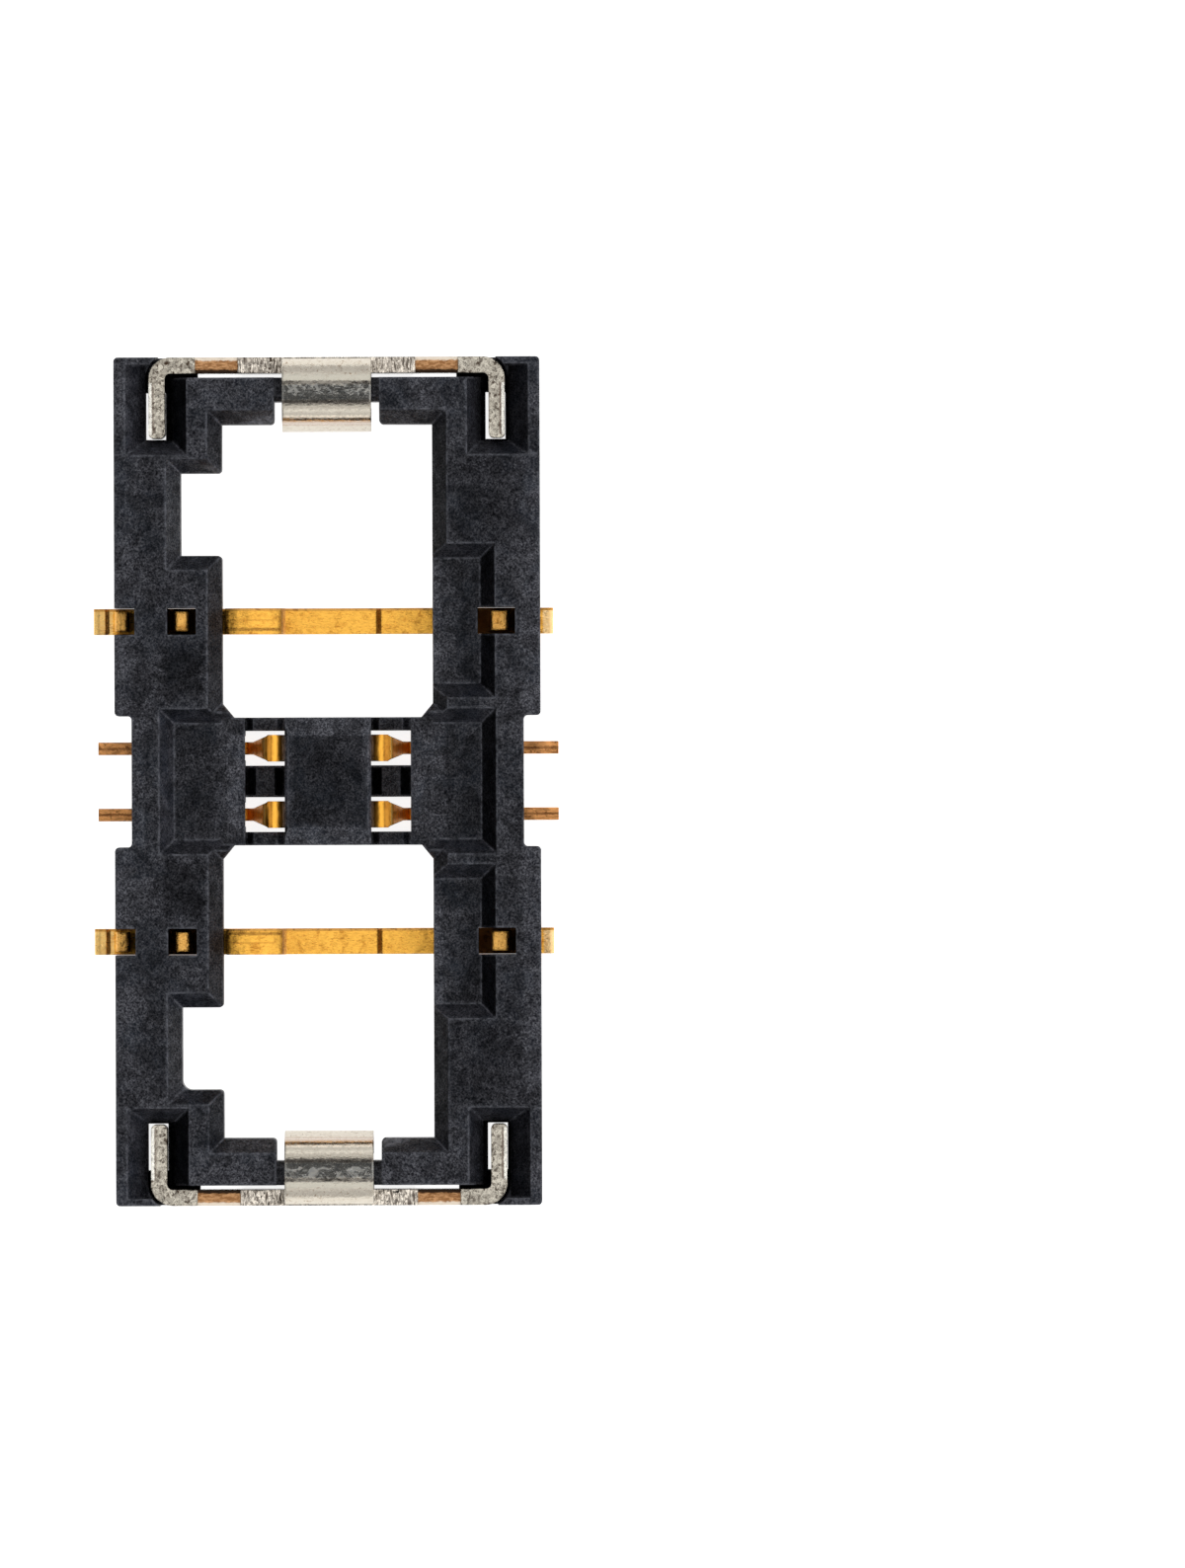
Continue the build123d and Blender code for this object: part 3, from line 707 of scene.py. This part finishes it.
RIM_RESIN = MouldedResin(
    "resin_rim",
    tones=(
        # Painted shade on the left rim between the window and the bridge
        Tone(Zone(span(-1.02, -0.77), span(0.50, 0.84), 40 * MICRON), 0.45),
        # Painted light on the outer bands of the flanks, left and right
        Tone(Zone(span(-1.40, -1.20), FLANKS), 1.35),
        Tone(Zone(span(1.20, 1.40), FLANKS), 1.35),
        # Painted light on the outer band of the waist on the left
        Tone(Zone(span(-1.22, -1.13), span(-0.10, 0.40), 12 * MICRON), 1.5),
        # Painted highlight in a pale line along the left rim
        Tone(Zone(span(-1.00, -0.93), span(1.38, 1.96), 14 * MICRON), 1.45),
        # Painted light on the end walls
        Tone(Zone(span(-1.40, 1.40), span(2.26, 2.70)), 1.25),
        # Painted shade on the right rim towards the ends, and on the left rim beside the posts
        Tone(Zone(span(0.76, 1.16), span(1.45, 2.02), 60 * MICRON), 0.68),
        Tone(Zone(span(-1.12, -0.96), span(1.00, 1.90), 50 * MICRON), 0.85),
    ),
)
FLOOR_RESIN = MouldedResin(
    "resin_floor",
    cool_share=0.7,
    relief=6 * MICRON,
    tones=(
        # Painted shade on the top of the island
        Tone(Zone(span(-0.215, 0.215), span(-0.10, 0.27), 15 * MICRON), 0.60),
        # Painted shade on the ledges beside the bridge, right and left
        Tone(Zone(span(0.70, 1.00), BRIDGE, 40 * MICRON), 0.70),
        Tone(Zone(span(-0.95, -0.70), span(-0.10, 0.34), 50 * MICRON), 0.66),
        # Painted shade on the right bay, and painted light on its inner edge
        Tone(Zone(span(0.80, 1.00), BAYS, 60 * MICRON), 0.70),
        Tone(Zone(span(0.62, 0.70), BAYS, 15 * MICRON), 1.45),
        # Painted light on the inner edges of the ledges, right and left
        Tone(Zone(span(0.53, 0.72), BRIDGE, 15 * MICRON), 1.40),
        Tone(Zone(span(-0.62, -0.53), BRIDGE, 15 * MICRON), 1.50),
    ),
)
WALL_RESIN = MouldedResin(
    "resin_wall",
    relief=4 * MICRON,
    tones=(
        # Painted light on the slanted ends of the island
        Tone(Zone(span(-0.27, 0.27), span(0.28, 0.40), 8 * MICRON), 1.50),
        # Painted light on the left slant beside the bridge
        Tone(Zone(span(-1.12, -0.92), span(-0.10, 0.40)), 1.45),
        # Painted shade on the left walls and the end walls of the openings
        Tone(Zone(span(-0.78, -0.62), OPENINGS), 0.70),
        Tone(Zone(span(-0.78, 0.78), span(2.15, 2.32)), 0.92),
        # Painted light on the left end corners
        Tone(Zone(span(-1.32, -0.84), END_CORNERS), 1.35),
        # Painted highlight along the right long edge of the island
        Tone(Zone(span(0.235, 0.280), ISLAND_EDGE, 6 * MICRON), 1.8),
    ),
)
# Painted shade: the wall resin at a quarter of its brightness, with less painted highlight on its edges,
# for faces turned from the light and level faces deep down
PAINTED_SHADE_RESIN = replace(
    WALL_RESIN,
    name="resin_painted_shade",
    gain=0.25,
    painted_edge_light_share=0.5,
    tones=(
        # Less painted shade on the right walls of the openings
        Tone(Zone(span(0.62, 0.76), OPENINGS), 2.0),
        # Less painted shade on the right end corners
        Tone(Zone(span(1.08, 1.30), END_CORNERS), 2.2),
        # Painted highlight along the left long edge of the island
        Tone(Zone(span(-0.280, -0.235), ISLAND_EDGE, 6 * MICRON), 6.0),
    ),
)
BASE_RESIN = MouldedResin("resin_base", fibre_turns=(82.0, 96.0), cool_share=0.3)

POWER_ROW = span(0.80, 1.20)
GOLD_EDGE = Metal(
    "gold_blanked",
    bright=(1.0, 0.53, 0.085, 1.0),
    dull=(0.58, 0.23, 0.03, 1.0),
    roughness=(0.26, 0.40),
    grain=(34 * MICRON, 9 * MICRON, 12 * MICRON),
    relief=7 * MICRON,
    stain=70 * MICRON,
    stain_range=(0.52, 0.64),
    streak=0.45,
    tints=(
        # Painted shadow where the bar leaves the left wall, and painted shade on the step at its dip
        Tint(Zone(span(-0.66, -0.610), POWER_ROW, 8 * MICRON), (0.02, 0.008, 0.002, 1.0), 1.0),
        Tint(Zone(span(0.297, 0.333), POWER_ROW, 4 * MICRON), (0.12, 0.05, 0.01, 1.0), 0.8),
        # Pale ends of the tails, and dark lines of painted shade across the left one, at its groove and
        # beside it
        Tint(Zone(span(-1.50, -1.33), POWER_ROW, 6 * MICRON), (1.0, 0.68, 0.26, 1.0), 0.95),
        Tint(Zone(span(1.33, 1.50), POWER_ROW, 6 * MICRON), (1.0, 0.72, 0.38, 1.0), 1.0),
        Tint(Zone(span(-1.376, -1.354), POWER_ROW, 4 * MICRON), (0.10, 0.04, 0.01, 1.0), 0.9),
        Tint(Zone(span(-1.428, -1.412), POWER_ROW, 4 * MICRON), (0.16, 0.07, 0.02, 1.0), 0.4),
        # Dark lines along the left arm of the bar, and painted shade in the bend where that arm ends
        Tint(Zone(span(-0.62, -0.29), span(0.930, 0.950), 5 * MICRON), (0.22, 0.09, 0.02, 1.0), 0.85),
        Tint(Zone(span(-0.60, -0.33), span(0.992, 1.002), 4 * MICRON), (0.55, 0.22, 0.035, 1.0), 0.7),
        Tint(Zone(span(-0.300, -0.272), POWER_ROW, 5 * MICRON), (0.30, 0.12, 0.02, 1.0), 0.75),
    ),
)
# Coined posts: the bar's gold with rounder edges and larger waves, and a paler gold that paints the light
# on their rounded tops
GOLD_POST = replace(
    GOLD_EDGE,
    name="gold_coined",
    bright=(1.0, 0.55, 0.14, 1.0),
    grain=(14 * MICRON, 14 * MICRON, 14 * MICRON),
    wave=42 * MICRON,
    wave_relief=9 * MICRON,
    edge=20 * MICRON,
    tints=(),
)
GOLD_BURNISH = Metal(
    "gold_burnished",
    bright=(0.66, 0.33, 0.07, 1.0),
    dull=(0.26, 0.10, 0.02, 1.0),
    roughness=(0.30, 0.45),
    grain=(45 * MICRON, 9 * MICRON, 12 * MICRON),
    stain=40 * MICRON,
)

SIGNAL_ROWS = span(-0.1, 0.5)
HEAD_SHADE = (0.30, 0.10, 0.012, 1.0)
FACET_HIGHLIGHT = (1.0, 0.60, 0.20, 1.0)
GOLD_FACE = Metal(
    "gold_rolled",
    bright=(1.0, 0.50, 0.07, 1.0),
    dull=(0.66, 0.25, 0.03, 1.0),
    roughness=(0.34, 0.46),
    grain=(60 * MICRON, 60 * MICRON, 14 * MICRON),
    relief=3 * MICRON,
    wave_relief=8 * MICRON,
    # Shade outside and inside the crest of the head
    tints=tuple(
        Tint(Zone(limits, SIGNAL_ROWS, 3 * MICRON), HEAD_SHADE, share)
        for low, high, share in ((0.345, 0.42, 0.85), (0.20, 0.276, 0.9))
        for limits in both_sides(low, high)
    ),
)
# The neck: more and darker stains than the rolled face, which also paint the shade where the neck lies
# deep by the wall
GOLD_NECK = replace(
    GOLD_FACE,
    name="gold_neck",
    bright=(1.0, 0.47, 0.06, 1.0),
    dull=(0.44, 0.17, 0.020, 1.0),
    stain=26 * MICRON,
    stain_range=(0.48, 0.60),
    streak=0.4,
    metallic=0.88,
    # Painted highlights on its facets
    tints=tuple(
        Tint(Zone(limits, SIGNAL_ROWS, 2 * MICRON), FACET_HIGHLIGHT, 0.9)
        for low, high in ((0.390, 0.399), (0.449, 0.457))
        for limits in both_sides(low, high)
    ),
)
# Painted shade: the edge sunk in the windows, in a dark gold
GOLD_SUNK_SHADED = Metal(
    "gold_sunk_painted_shade",
    bright=(0.24, 0.10, 0.020, 1.0),
    dull=(0.05, 0.018, 0.004, 1.0),
    roughness=(0.5, 0.7),
    metallic=0.7,
)
GOLD_TAIL = Metal(
    "gold_tail",
    bright=(0.86, 0.40, 0.14, 1.0),
    dull=(0.16, 0.05, 0.014, 1.0),
    roughness=(0.30, 0.44),
    grain=(90 * MICRON, 8 * MICRON, 14 * MICRON),
    relief=7 * MICRON,
    stain=26 * MICRON,
    streak=0.6,
    # Dark line along the tail
    tints=(Tint(Zone(span(-2.0, 2.0), span(0.196, 0.212), 5 * MICRON), (0.08, 0.025, 0.006, 1.0), 0.75),),
)

SADDLE = span(-0.5, 0.5)
LEGS = span(2.14, 2.46)
LEG_HIGHLIGHT = (0.92, 0.90, 0.83, 1.0)
LEG_SHADE = (0.10, 0.06, 0.045, 1.0)
PLATE_FACE = Metal(
    "plating_rolled",
    bright=(0.52, 0.48, 0.41, 1.0),
    dull=(0.26, 0.19, 0.13, 1.0),
    roughness=(0.12, 0.20),
    grain=(34 * MICRON, 18 * MICRON, 30 * MICRON),
    relief=1.2 * MICRON,
    wave_relief=11 * MICRON,
    wave_detail=0.5,
    stain=34 * MICRON,
    stain_range=(0.55, 0.66),
    edge=20 * MICRON,
)
PLATE_SADDLE = replace(
    PLATE_FACE,
    name="plating_saddle",
    bright=(0.50, 0.46, 0.39, 1.0),
    roughness=(0.12, 0.17),
    relief=2 * MICRON,
    wave_relief=12 * MICRON,
    stain=22 * MICRON,
    stain_range=(0.54, 0.64),
    waved=Zone(SADDLE, span(2.385, 2.47), 12 * MICRON),
    tints=(
        # Painted reflection over the end wall: a dark band, with grey between its two borders
        Tint(Zone(SADDLE, span(2.448, 2.474), 6 * MICRON), (0.10, 0.09, 0.08, 1.0), 0.95),
        Tint(Zone(SADDLE, span(2.352, 2.448), 8 * MICRON), (0.26, 0.27, 0.27, 1.0), 0.9),
        Tint(Zone(SADDLE, span(2.326, 2.352), 6 * MICRON), (0.12, 0.10, 0.09, 1.0), 0.85),
        # Painted light in bands outside and inside it
        Tint(Zone(SADDLE, span(2.474, 2.512), 8 * MICRON), (0.42, 0.40, 0.34, 1.0), 0.9),
        Tint(Zone(SADDLE, span(2.285, 2.326), 8 * MICRON), (0.33, 0.30, 0.25, 1.0), 0.9),
        Tint(Zone(SADDLE, span(2.232, 2.295), 8 * MICRON), (0.62, 0.57, 0.48, 1.0), 0.9),
        # Painted highlight along the opening, and a brown border beside it
        Tint(Zone(SADDLE, span(2.236, 2.258), 5 * MICRON), (1.0, 0.88, 0.72, 1.0), 0.9),
        Tint(Zone(SADDLE, span(2.198, 2.222), 6 * MICRON), (0.36, 0.25, 0.17, 1.0), 0.9),
    ),
)
PLATE_EDGE = Metal(
    "plating_sheared",
    bright=(0.56, 0.52, 0.44, 1.0),
    dull=(0.040, 0.022, 0.012, 1.0),
    roughness=(0.14, 0.26),
    grain=(18 * MICRON, 26 * MICRON, 30 * MICRON),
    relief=8 * MICRON,
    wave=60 * MICRON,
    wave_relief=24 * MICRON,
    stain=34 * MICRON,
    stain_range=(0.46, 0.53),
    streak=0.4,
    # Painted highlight on the outer halves of the legs, and a line of painted shade inside them
    tints=tuple(
        Tint(Zone(limits, LEGS, 3 * MICRON), colour, share)
        for limits, colour, share in (
            (span(-1.30, -1.080), LEG_HIGHLIGHT, 0.9),
            (span(1.080, 1.30), LEG_HIGHLIGHT, 0.9),
            (span(-1.078, -1.066), LEG_SHADE, 0.6),
            (span(1.066, 1.078), LEG_SHADE, 0.8),
        )
    ),
)
PLATE_STRIP = replace(
    PLATE_EDGE,
    name="plating_parted",
    bright=(0.92, 0.84, 0.73, 1.0),
    grain=(15 * MICRON, 110 * MICRON, 30 * MICRON),
    relief=14 * MICRON,
    stain=30 * MICRON,
    streak=0.9,
    tints=(),
)
RAW_COPPER = PartedCopper(
    "copper_parted",
    Metal(
        "copper",
        bright=(0.62, 0.34, 0.16, 1.0),
        dull=(0.30, 0.14, 0.055, 1.0),
        roughness=(0.34, 0.5),
        grain=(30 * MICRON, 12 * MICRON, 20 * MICRON),
        relief=6 * MICRON,
    ),
)


def new_piece(
    name: str, body: bmesh.types.BMesh, slot: Slot, finishes: list[bpy.types.Material], *nodes: str
) -> bpy.types.Object:
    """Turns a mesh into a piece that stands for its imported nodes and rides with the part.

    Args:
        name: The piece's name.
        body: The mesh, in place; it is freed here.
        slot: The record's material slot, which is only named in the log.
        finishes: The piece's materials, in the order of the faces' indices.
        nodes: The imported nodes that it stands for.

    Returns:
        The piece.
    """
    mesh = bpy.data.meshes.new(name)
    body.to_mesh(mesh)
    body.free()
    for finish in finishes:
        mesh.materials.append(finish)
    piece = bpy.data.objects.new(name, mesh)
    bpy.context.scene.collection.objects.link(piece)
    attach(piece, ROOT)
    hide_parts(*nodes)
    log.info("%s: %d faces, slot %s", name, len(mesh.polygons), slot.value)
    return piece


def merged_copy(node: str) -> bmesh.types.BMesh:
    """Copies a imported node's mesh, with its loose triangles merged and its flat faces made whole.

    Args:
        node: The node's name.

    Returns:
        The merged mesh.
    """
    body = bmesh.new()
    body.from_mesh(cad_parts[node].data)
    bmesh.ops.remove_doubles(body, verts=body.verts, dist=MERGE_REACH)
    bmesh.ops.dissolve_limit(body, angle_limit=FLAT_TURN, verts=body.verts, edges=body.edges)
    return body


class DressedNode(ABC):
    """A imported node's merged mesh, with a finish for each kind of face.

    Attributes:
        slot: The record's material slot.
        finishes: The finishes of the faces, in the order of the piece's materials.
    """

    slot: ClassVar[Slot]
    finishes: ClassVar[tuple[Finish, ...]]

    @property
    @abstractmethod
    def node(self) -> str:
        """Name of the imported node."""

    @property
    def piece_name(self) -> str:
        """Name of the piece."""
        return self.node + "_finished"

    @abstractmethod
    def finish_of(self, face: bmesh.types.BMFace) -> Finish:
        """Picks the finish of a face.

        Args:
            face: The face.

        Returns:
            Its finish, one of the piece's finishes.
        """

    def shape(self) -> bmesh.types.BMesh:
        """Builds the mesh."""
        return merged_copy(self.node)

    def build(self) -> bpy.types.Object:
        """Builds the piece.

        Returns:
            The piece.
        """
        body = self.shape()
        for face in body.faces:
            face.material_index = self.finishes.index(self.finish_of(face))
        materials = [finish.material() for finish in self.finishes]
        return new_piece(self.piece_name, body, self.slot, materials, self.node)


@dataclass
class Housing(DressedNode):
    """The moulded frame, with a finish for each kind of mould face.

    Attributes:
        rim_height: Height above which a level face is rim.
        floor_height: Height above which it is floor.
        deep_height: Height below which a level face lies in the shade, which is painted on it.
        flat: Upright part of a level face's normal, at the least.
        turned_away: Part of the normal along X below which a face is turned from the light and gets
            painted shade.
    """

    slot: ClassVar[Slot] = Slot.HOUSING
    finishes: ClassVar[tuple[Finish, ...]] = (
        RIM_RESIN, FLOOR_RESIN, WALL_RESIN, BASE_RESIN, PAINTED_SHADE_RESIN
    )
    rim_height: float = 0.66 * MILLIMETRE
    floor_height: float = 0.45 * MILLIMETRE
    deep_height: float = 0.22 * MILLIMETRE
    flat: float = 0.97
    turned_away: float = -0.3

    @property
    def node(self) -> str:
        """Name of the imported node."""
        return "housing"

    @property
    def piece_name(self) -> str:
        """Name of the piece."""
        return "housing_frame"

    def finish_of(self, face: bmesh.types.BMFace) -> Finish:
        """Picks the finish of a face by its height and its direction.

        Args:
            face: The face.

        Returns:
            Its finish.
        """
        height = face.calc_center_median().z
        if face.normal.z < -self.flat:
            return BASE_RESIN
        # Faces turned from the light, and level faces deep down, get the painted shade finish
        deep = face.normal.z > self.flat and height < self.deep_height
        if face.normal.x < self.turned_away or deep:
            return PAINTED_SHADE_RESIN
        if face.normal.z < self.flat or height < self.floor_height:
            return WALL_RESIN
        return RIM_RESIN if height > self.rim_height else FLOOR_RESIN


@dataclass
class PowerContact(DressedNode):
    """A blanked contact on edge, its cut edges burnished along one side of the sheet.

    Attributes:
        end: Its end of the part.
        pitch: Distance between the two power contacts.
        burnish_side: Distance from the sheet's middle at which the burnished side starts.
        seat_top: Height of the sunk edge in the windows.
        seat_depth: How far from that height a face may be and still belong to the sunk edge.
        post_rise: How far above that height a post starts.
        opening_half: Distance from the middle at which the openings end.
        sideways: Part of the normal along Y, at the least, of a face of the sheet.
    """

    slot: ClassVar[Slot] = Slot.GOLD
    finishes: ClassVar[tuple[Finish, ...]] = (
        GOLD_EDGE, GOLD_BURNISH, GOLD_FACE, GOLD_SUNK_SHADED, GOLD_POST
    )
    end: End
    pitch: float = 1.98 * MILLIMETRE
    burnish_side: float = 0.064 * MILLIMETRE
    seat_top: float = 0.26 * MILLIMETRE
    seat_depth: float = 10 * MICRON
    post_rise: float = 20 * MICRON
    opening_half: float = 0.65 * MILLIMETRE
    sideways: float = 0.7

    @property
    def node(self) -> str:
        """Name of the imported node."""
        return f"power_contact_{self.end.name.lower()}"

    @property
    def burnished_from(self) -> float:
        """Where along the part the burnished side of the sheet starts."""
        return self.end.value * self.pitch / 2 + self.burnish_side

    def shape(self) -> bmesh.types.BMesh:
        """Builds the mesh, cut where the burnished side starts.

        Returns:
            The mesh.
        """
        body = merged_copy(self.node)
        bmesh.ops.bisect_plane(
            body,
            geom=[*body.verts, *body.edges, *body.faces],
            plane_co=(0, self.burnished_from, 0),
            plane_no=(0, 1, 0),
        )
        return body

    def finish_of(self, face: bmesh.types.BMFace) -> Finish:
        """Picks the finish of a face by its place on the blank.

        Args:
            face: The face.

        Returns:
            Its finish.
        """
        if abs(face.normal.y) > self.sideways:
            return GOLD_FACE
        centre = face.calc_center_median()
        in_window = abs(centre.x) > self.opening_half
        # The edge sunk in the windows gets the painted shade finish
        if in_window and abs(centre.z - self.seat_top) < self.seat_depth:
            return GOLD_SUNK_SHADED
        if in_window and centre.z > self.seat_top + self.post_rise:
            return GOLD_POST
        return GOLD_BURNISH if centre.y > self.burnished_from else GOLD_EDGE


@dataclass
class SignalContact(DressedNode):
    """A formed spring contact, rolled above and below and sheared at its sides.

    Attributes:
        end: Its end of the part.
        side: Its side of the part.
        tail_from: Distance from the middle at which the tail starts.
        neck_from: Distance from the middle at which the neck starts.
        sideways: Part of the normal along Y, at the least, of a sheared side.
    """

    slot: ClassVar[Slot] = Slot.GOLD
    finishes: ClassVar[tuple[Finish, ...]] = (GOLD_FACE, GOLD_EDGE, GOLD_TAIL, GOLD_NECK)
    end: End
    side: Side
    tail_from: float = 1.15 * MILLIMETRE
    neck_from: float = 0.385 * MILLIMETRE
    sideways: float = 0.7

    @property
    def node(self) -> str:
        """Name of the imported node."""
        return f"signal_contact_{self.end.name.lower()}_{self.side.name.lower()}"

    def finish_of(self, face: bmesh.types.BMFace) -> Finish:
        """Picks the finish of a face by its place along the strip.

        Args:
            face: The face.

        Returns:
            Its finish.
        """
        reach = abs(face.calc_center_median().x)
        if reach > self.tail_from:
            return GOLD_TAIL
        if abs(face.normal.y) > self.sideways:
            return GOLD_EDGE
        return GOLD_NECK if reach > self.neck_from else GOLD_FACE


@dataclass
class HoldDown(DressedNode):
    """A bent bracket with its saddle, plated faces, sheared edges and raw strap cuts.

    Attributes:
        end: Its end of the part.
        strip_top: Height of the end strip.
        cut_depth: How far a strap cut lies below it.
        cut_span: Where a strap cut starts and ends, from the middle.
        saddle_half: Distance from the middle at which the saddle ends.
        saddle_slack: How far past that a face may be and still belong to it.
        level: Upright part of a level face's normal, at the least.
        sideways: Part of the normal along X, at the least, of the saddle's sheared sides.
    """

    slot: ClassVar[Slot] = Slot.PLATING
    finishes: ClassVar[tuple[Finish, ...]] = (
        PLATE_FACE, PLATE_EDGE, RAW_COPPER, PLATE_STRIP, PLATE_SADDLE
    )
    end: End
    strip_top: float = 0.62 * MILLIMETRE
    cut_depth: float = 0.03 * MILLIMETRE
    cut_span: Span = (0.5 * MILLIMETRE, 0.85 * MILLIMETRE)
    saddle_half: float = 0.275 * MILLIMETRE
    saddle_slack: float = 2.75 * MICRON
    level: float = 0.9
    sideways: float = 0.7

    @property
    def node(self) -> str:
        """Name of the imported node."""
        return f"hold_down_{self.end.name.lower()}"

    def finish_of(self, face: bmesh.types.BMFace) -> Finish:
        """Picks the finish of a face by its place and its direction.

        Args:
            face: The face.

        Returns:
            Its finish.
        """
        centre = face.calc_center_median()
        reach = abs(centre.x)
        near, far = self.cut_span
        if face.normal.z > self.level:
            below_top = self.strip_top - centre.z
            if near < reach < far and below_top > self.cut_depth / 2:
                return RAW_COPPER
            if abs(below_top) < self.cut_depth / 2:
                return PLATE_STRIP if reach < far + self.cut_depth else PLATE_EDGE
        if reach > self.saddle_half + self.saddle_slack:
            return PLATE_EDGE if abs(face.normal.z) > self.level else PLATE_FACE
        return PLATE_EDGE if abs(face.normal.x) > self.sideways else PLATE_SADDLE


@dataclass
class Studio:
    """Floor, sky and camera, set up as the part was photographed.

    Attributes:
        pixels_per_metre, frame_size, part_place: Scale and size of the photograph, and the place of the
            part's middle in it, in pixels from the top left corner.
        plane: Height at which that scale holds.
        distance, clips: The camera's distance from that plane, and its clipping in distances.
        roll, sensor: The camera's turn and the width of its sensor.
        low_side, side_range: Strength of the low sky on the left and on the right, and the range along X.
        overhead, dome_range: Strength of the high sky, and the range of heights over which it sets in.
        lens_dark, lens_range: Share of it that is left where the lens stands, and its soft border.
        floor_half, floor_colour, floor_roughness, floor_glow: Half width and finish of the floor, and
            how bright it looks by itself.
    """

    pixels_per_metre: float = 164.0 / MILLIMETRE
    frame_size: tuple[int, int] = (1200, 1588)
    part_place: Span = (332.0, 791.2)
    plane: float = 0.6 * MILLIMETRE
    distance: float = 0.2
    clips: Span = (0.01, 20.0)
    roll: float = math.radians(0.2)
    sensor: float = 36.0
    low_side: Span = (0.03, 1.25)
    side_range: Span = (-0.65, 0.12)
    overhead: float = 1.75
    dome_range: Span = (0.5, 0.8)
    lens_dark: float = 0.09
    lens_range: Span = (0.955, 0.982)
    floor_half: float = 0.25
    floor_colour: Colour = (0.8, 0.8, 0.8, 1.0)
    floor_roughness: float = 0.9
    floor_glow: float = 0.88

    def camera(self) -> None:
        """Builds the camera.

        It looks straight down at the photograph's middle, and the part stands off centre.
        """
        data = bpy.data.cameras.new("photo_camera")
        wide, high = self.frame_size
        data.sensor_width = self.sensor
        data.lens = self.sensor * self.distance * self.pixels_per_metre / high
        data.clip_start, data.clip_end = (self.distance * clip for clip in self.clips)
        camera = bpy.data.objects.new("photo_camera", data)
        across = (wide / 2 - self.part_place[0]) / self.pixels_per_metre
        along = (self.part_place[1] - high / 2) / self.pixels_per_metre
        turn = Matrix.Rotation(-self.roll, 3, "Z")
        camera.location = turn @ Vector((across, along, 0)) + Vector((0, 0, self.plane + self.distance))
        camera.rotation_euler = (0, 0, -self.roll)
        bpy.context.scene.collection.objects.link(camera)
        bpy.context.scene.camera = camera

    def sky(self) -> None:
        """Builds the sky.

        It is bright overhead, dark where the lens stands and low on the left, and white to the camera.
        """
        world = bpy.data.worlds.new("studio")
        bpy.context.scene.world = world
        world.use_nodes = True
        board = NodeBoard(world.node_tree)
        split = board.node("ShaderNodeSeparateXYZ")
        board.feed(split.inputs[0], board.node("ShaderNodeTexCoord").outputs["Generated"])
        side = board.spread(split.outputs["X"], self.side_range, self.low_side)
        dome = board.spread(split.outputs["Z"], self.dome_range, (side, self.overhead))
        lens = board.spread(split.outputs["Z"], self.lens_range, (1.0, self.lens_dark))
        lit = board.math("MULTIPLY", dome, lens)
        seen = board.node("ShaderNodeLightPath").outputs["Is Camera Ray"]
        back = board.node("ShaderNodeBackground")
        board.feed(back.inputs["Strength"], board.math("MAXIMUM", lit, seen))
        board.feed(board.node("ShaderNodeOutputWorld").inputs["Surface"], back.outputs["Background"])

    def floor(self) -> None:
        """Builds the pale floor.

        It shows white to the camera and in reflections, but still takes the part's shadow.
        """
        body = bmesh.new()
        bmesh.ops.create_grid(body, x_segments=1, y_segments=1, size=self.floor_half)
        mesh = bpy.data.meshes.new("floor")
        body.to_mesh(mesh)
        body.free()
        board = SurfaceBoard("floor")
        ray = board.node("ShaderNodeLightPath")
        seen = board.math("MAXIMUM", ray.outputs["Is Camera Ray"], ray.outputs["Is Glossy Ray"])
        material = board.surface(
            self.floor_colour,
            self.floor_roughness,
            Emission_Color=(1.0, 1.0, 1.0, 1.0),
            Emission_Strength=board.math("MULTIPLY", seen, self.floor_glow),
        )
        mesh.materials.append(material)
        floor = bpy.data.objects.new("floor", mesh)
        bpy.context.scene.collection.objects.link(floor)

    def build(self) -> None:
        """Builds the whole studio, with plain colours in the picture."""
        bpy.context.scene.view_settings.view_transform = "Standard"
        self.camera()
        self.sky()
        self.floor()


def main() -> None:
    """Builds the studio and every piece, and reports each one."""
    logging.basicConfig(level=logging.INFO, format="%(message)s")
    Studio().build()
    Housing().build()
    for end in End:
        PowerContact(end).build()
        for side in Side:
            SignalContact(end, side).build()
        HoldDown(end).build()


if __name__ == "__main__":
    main()
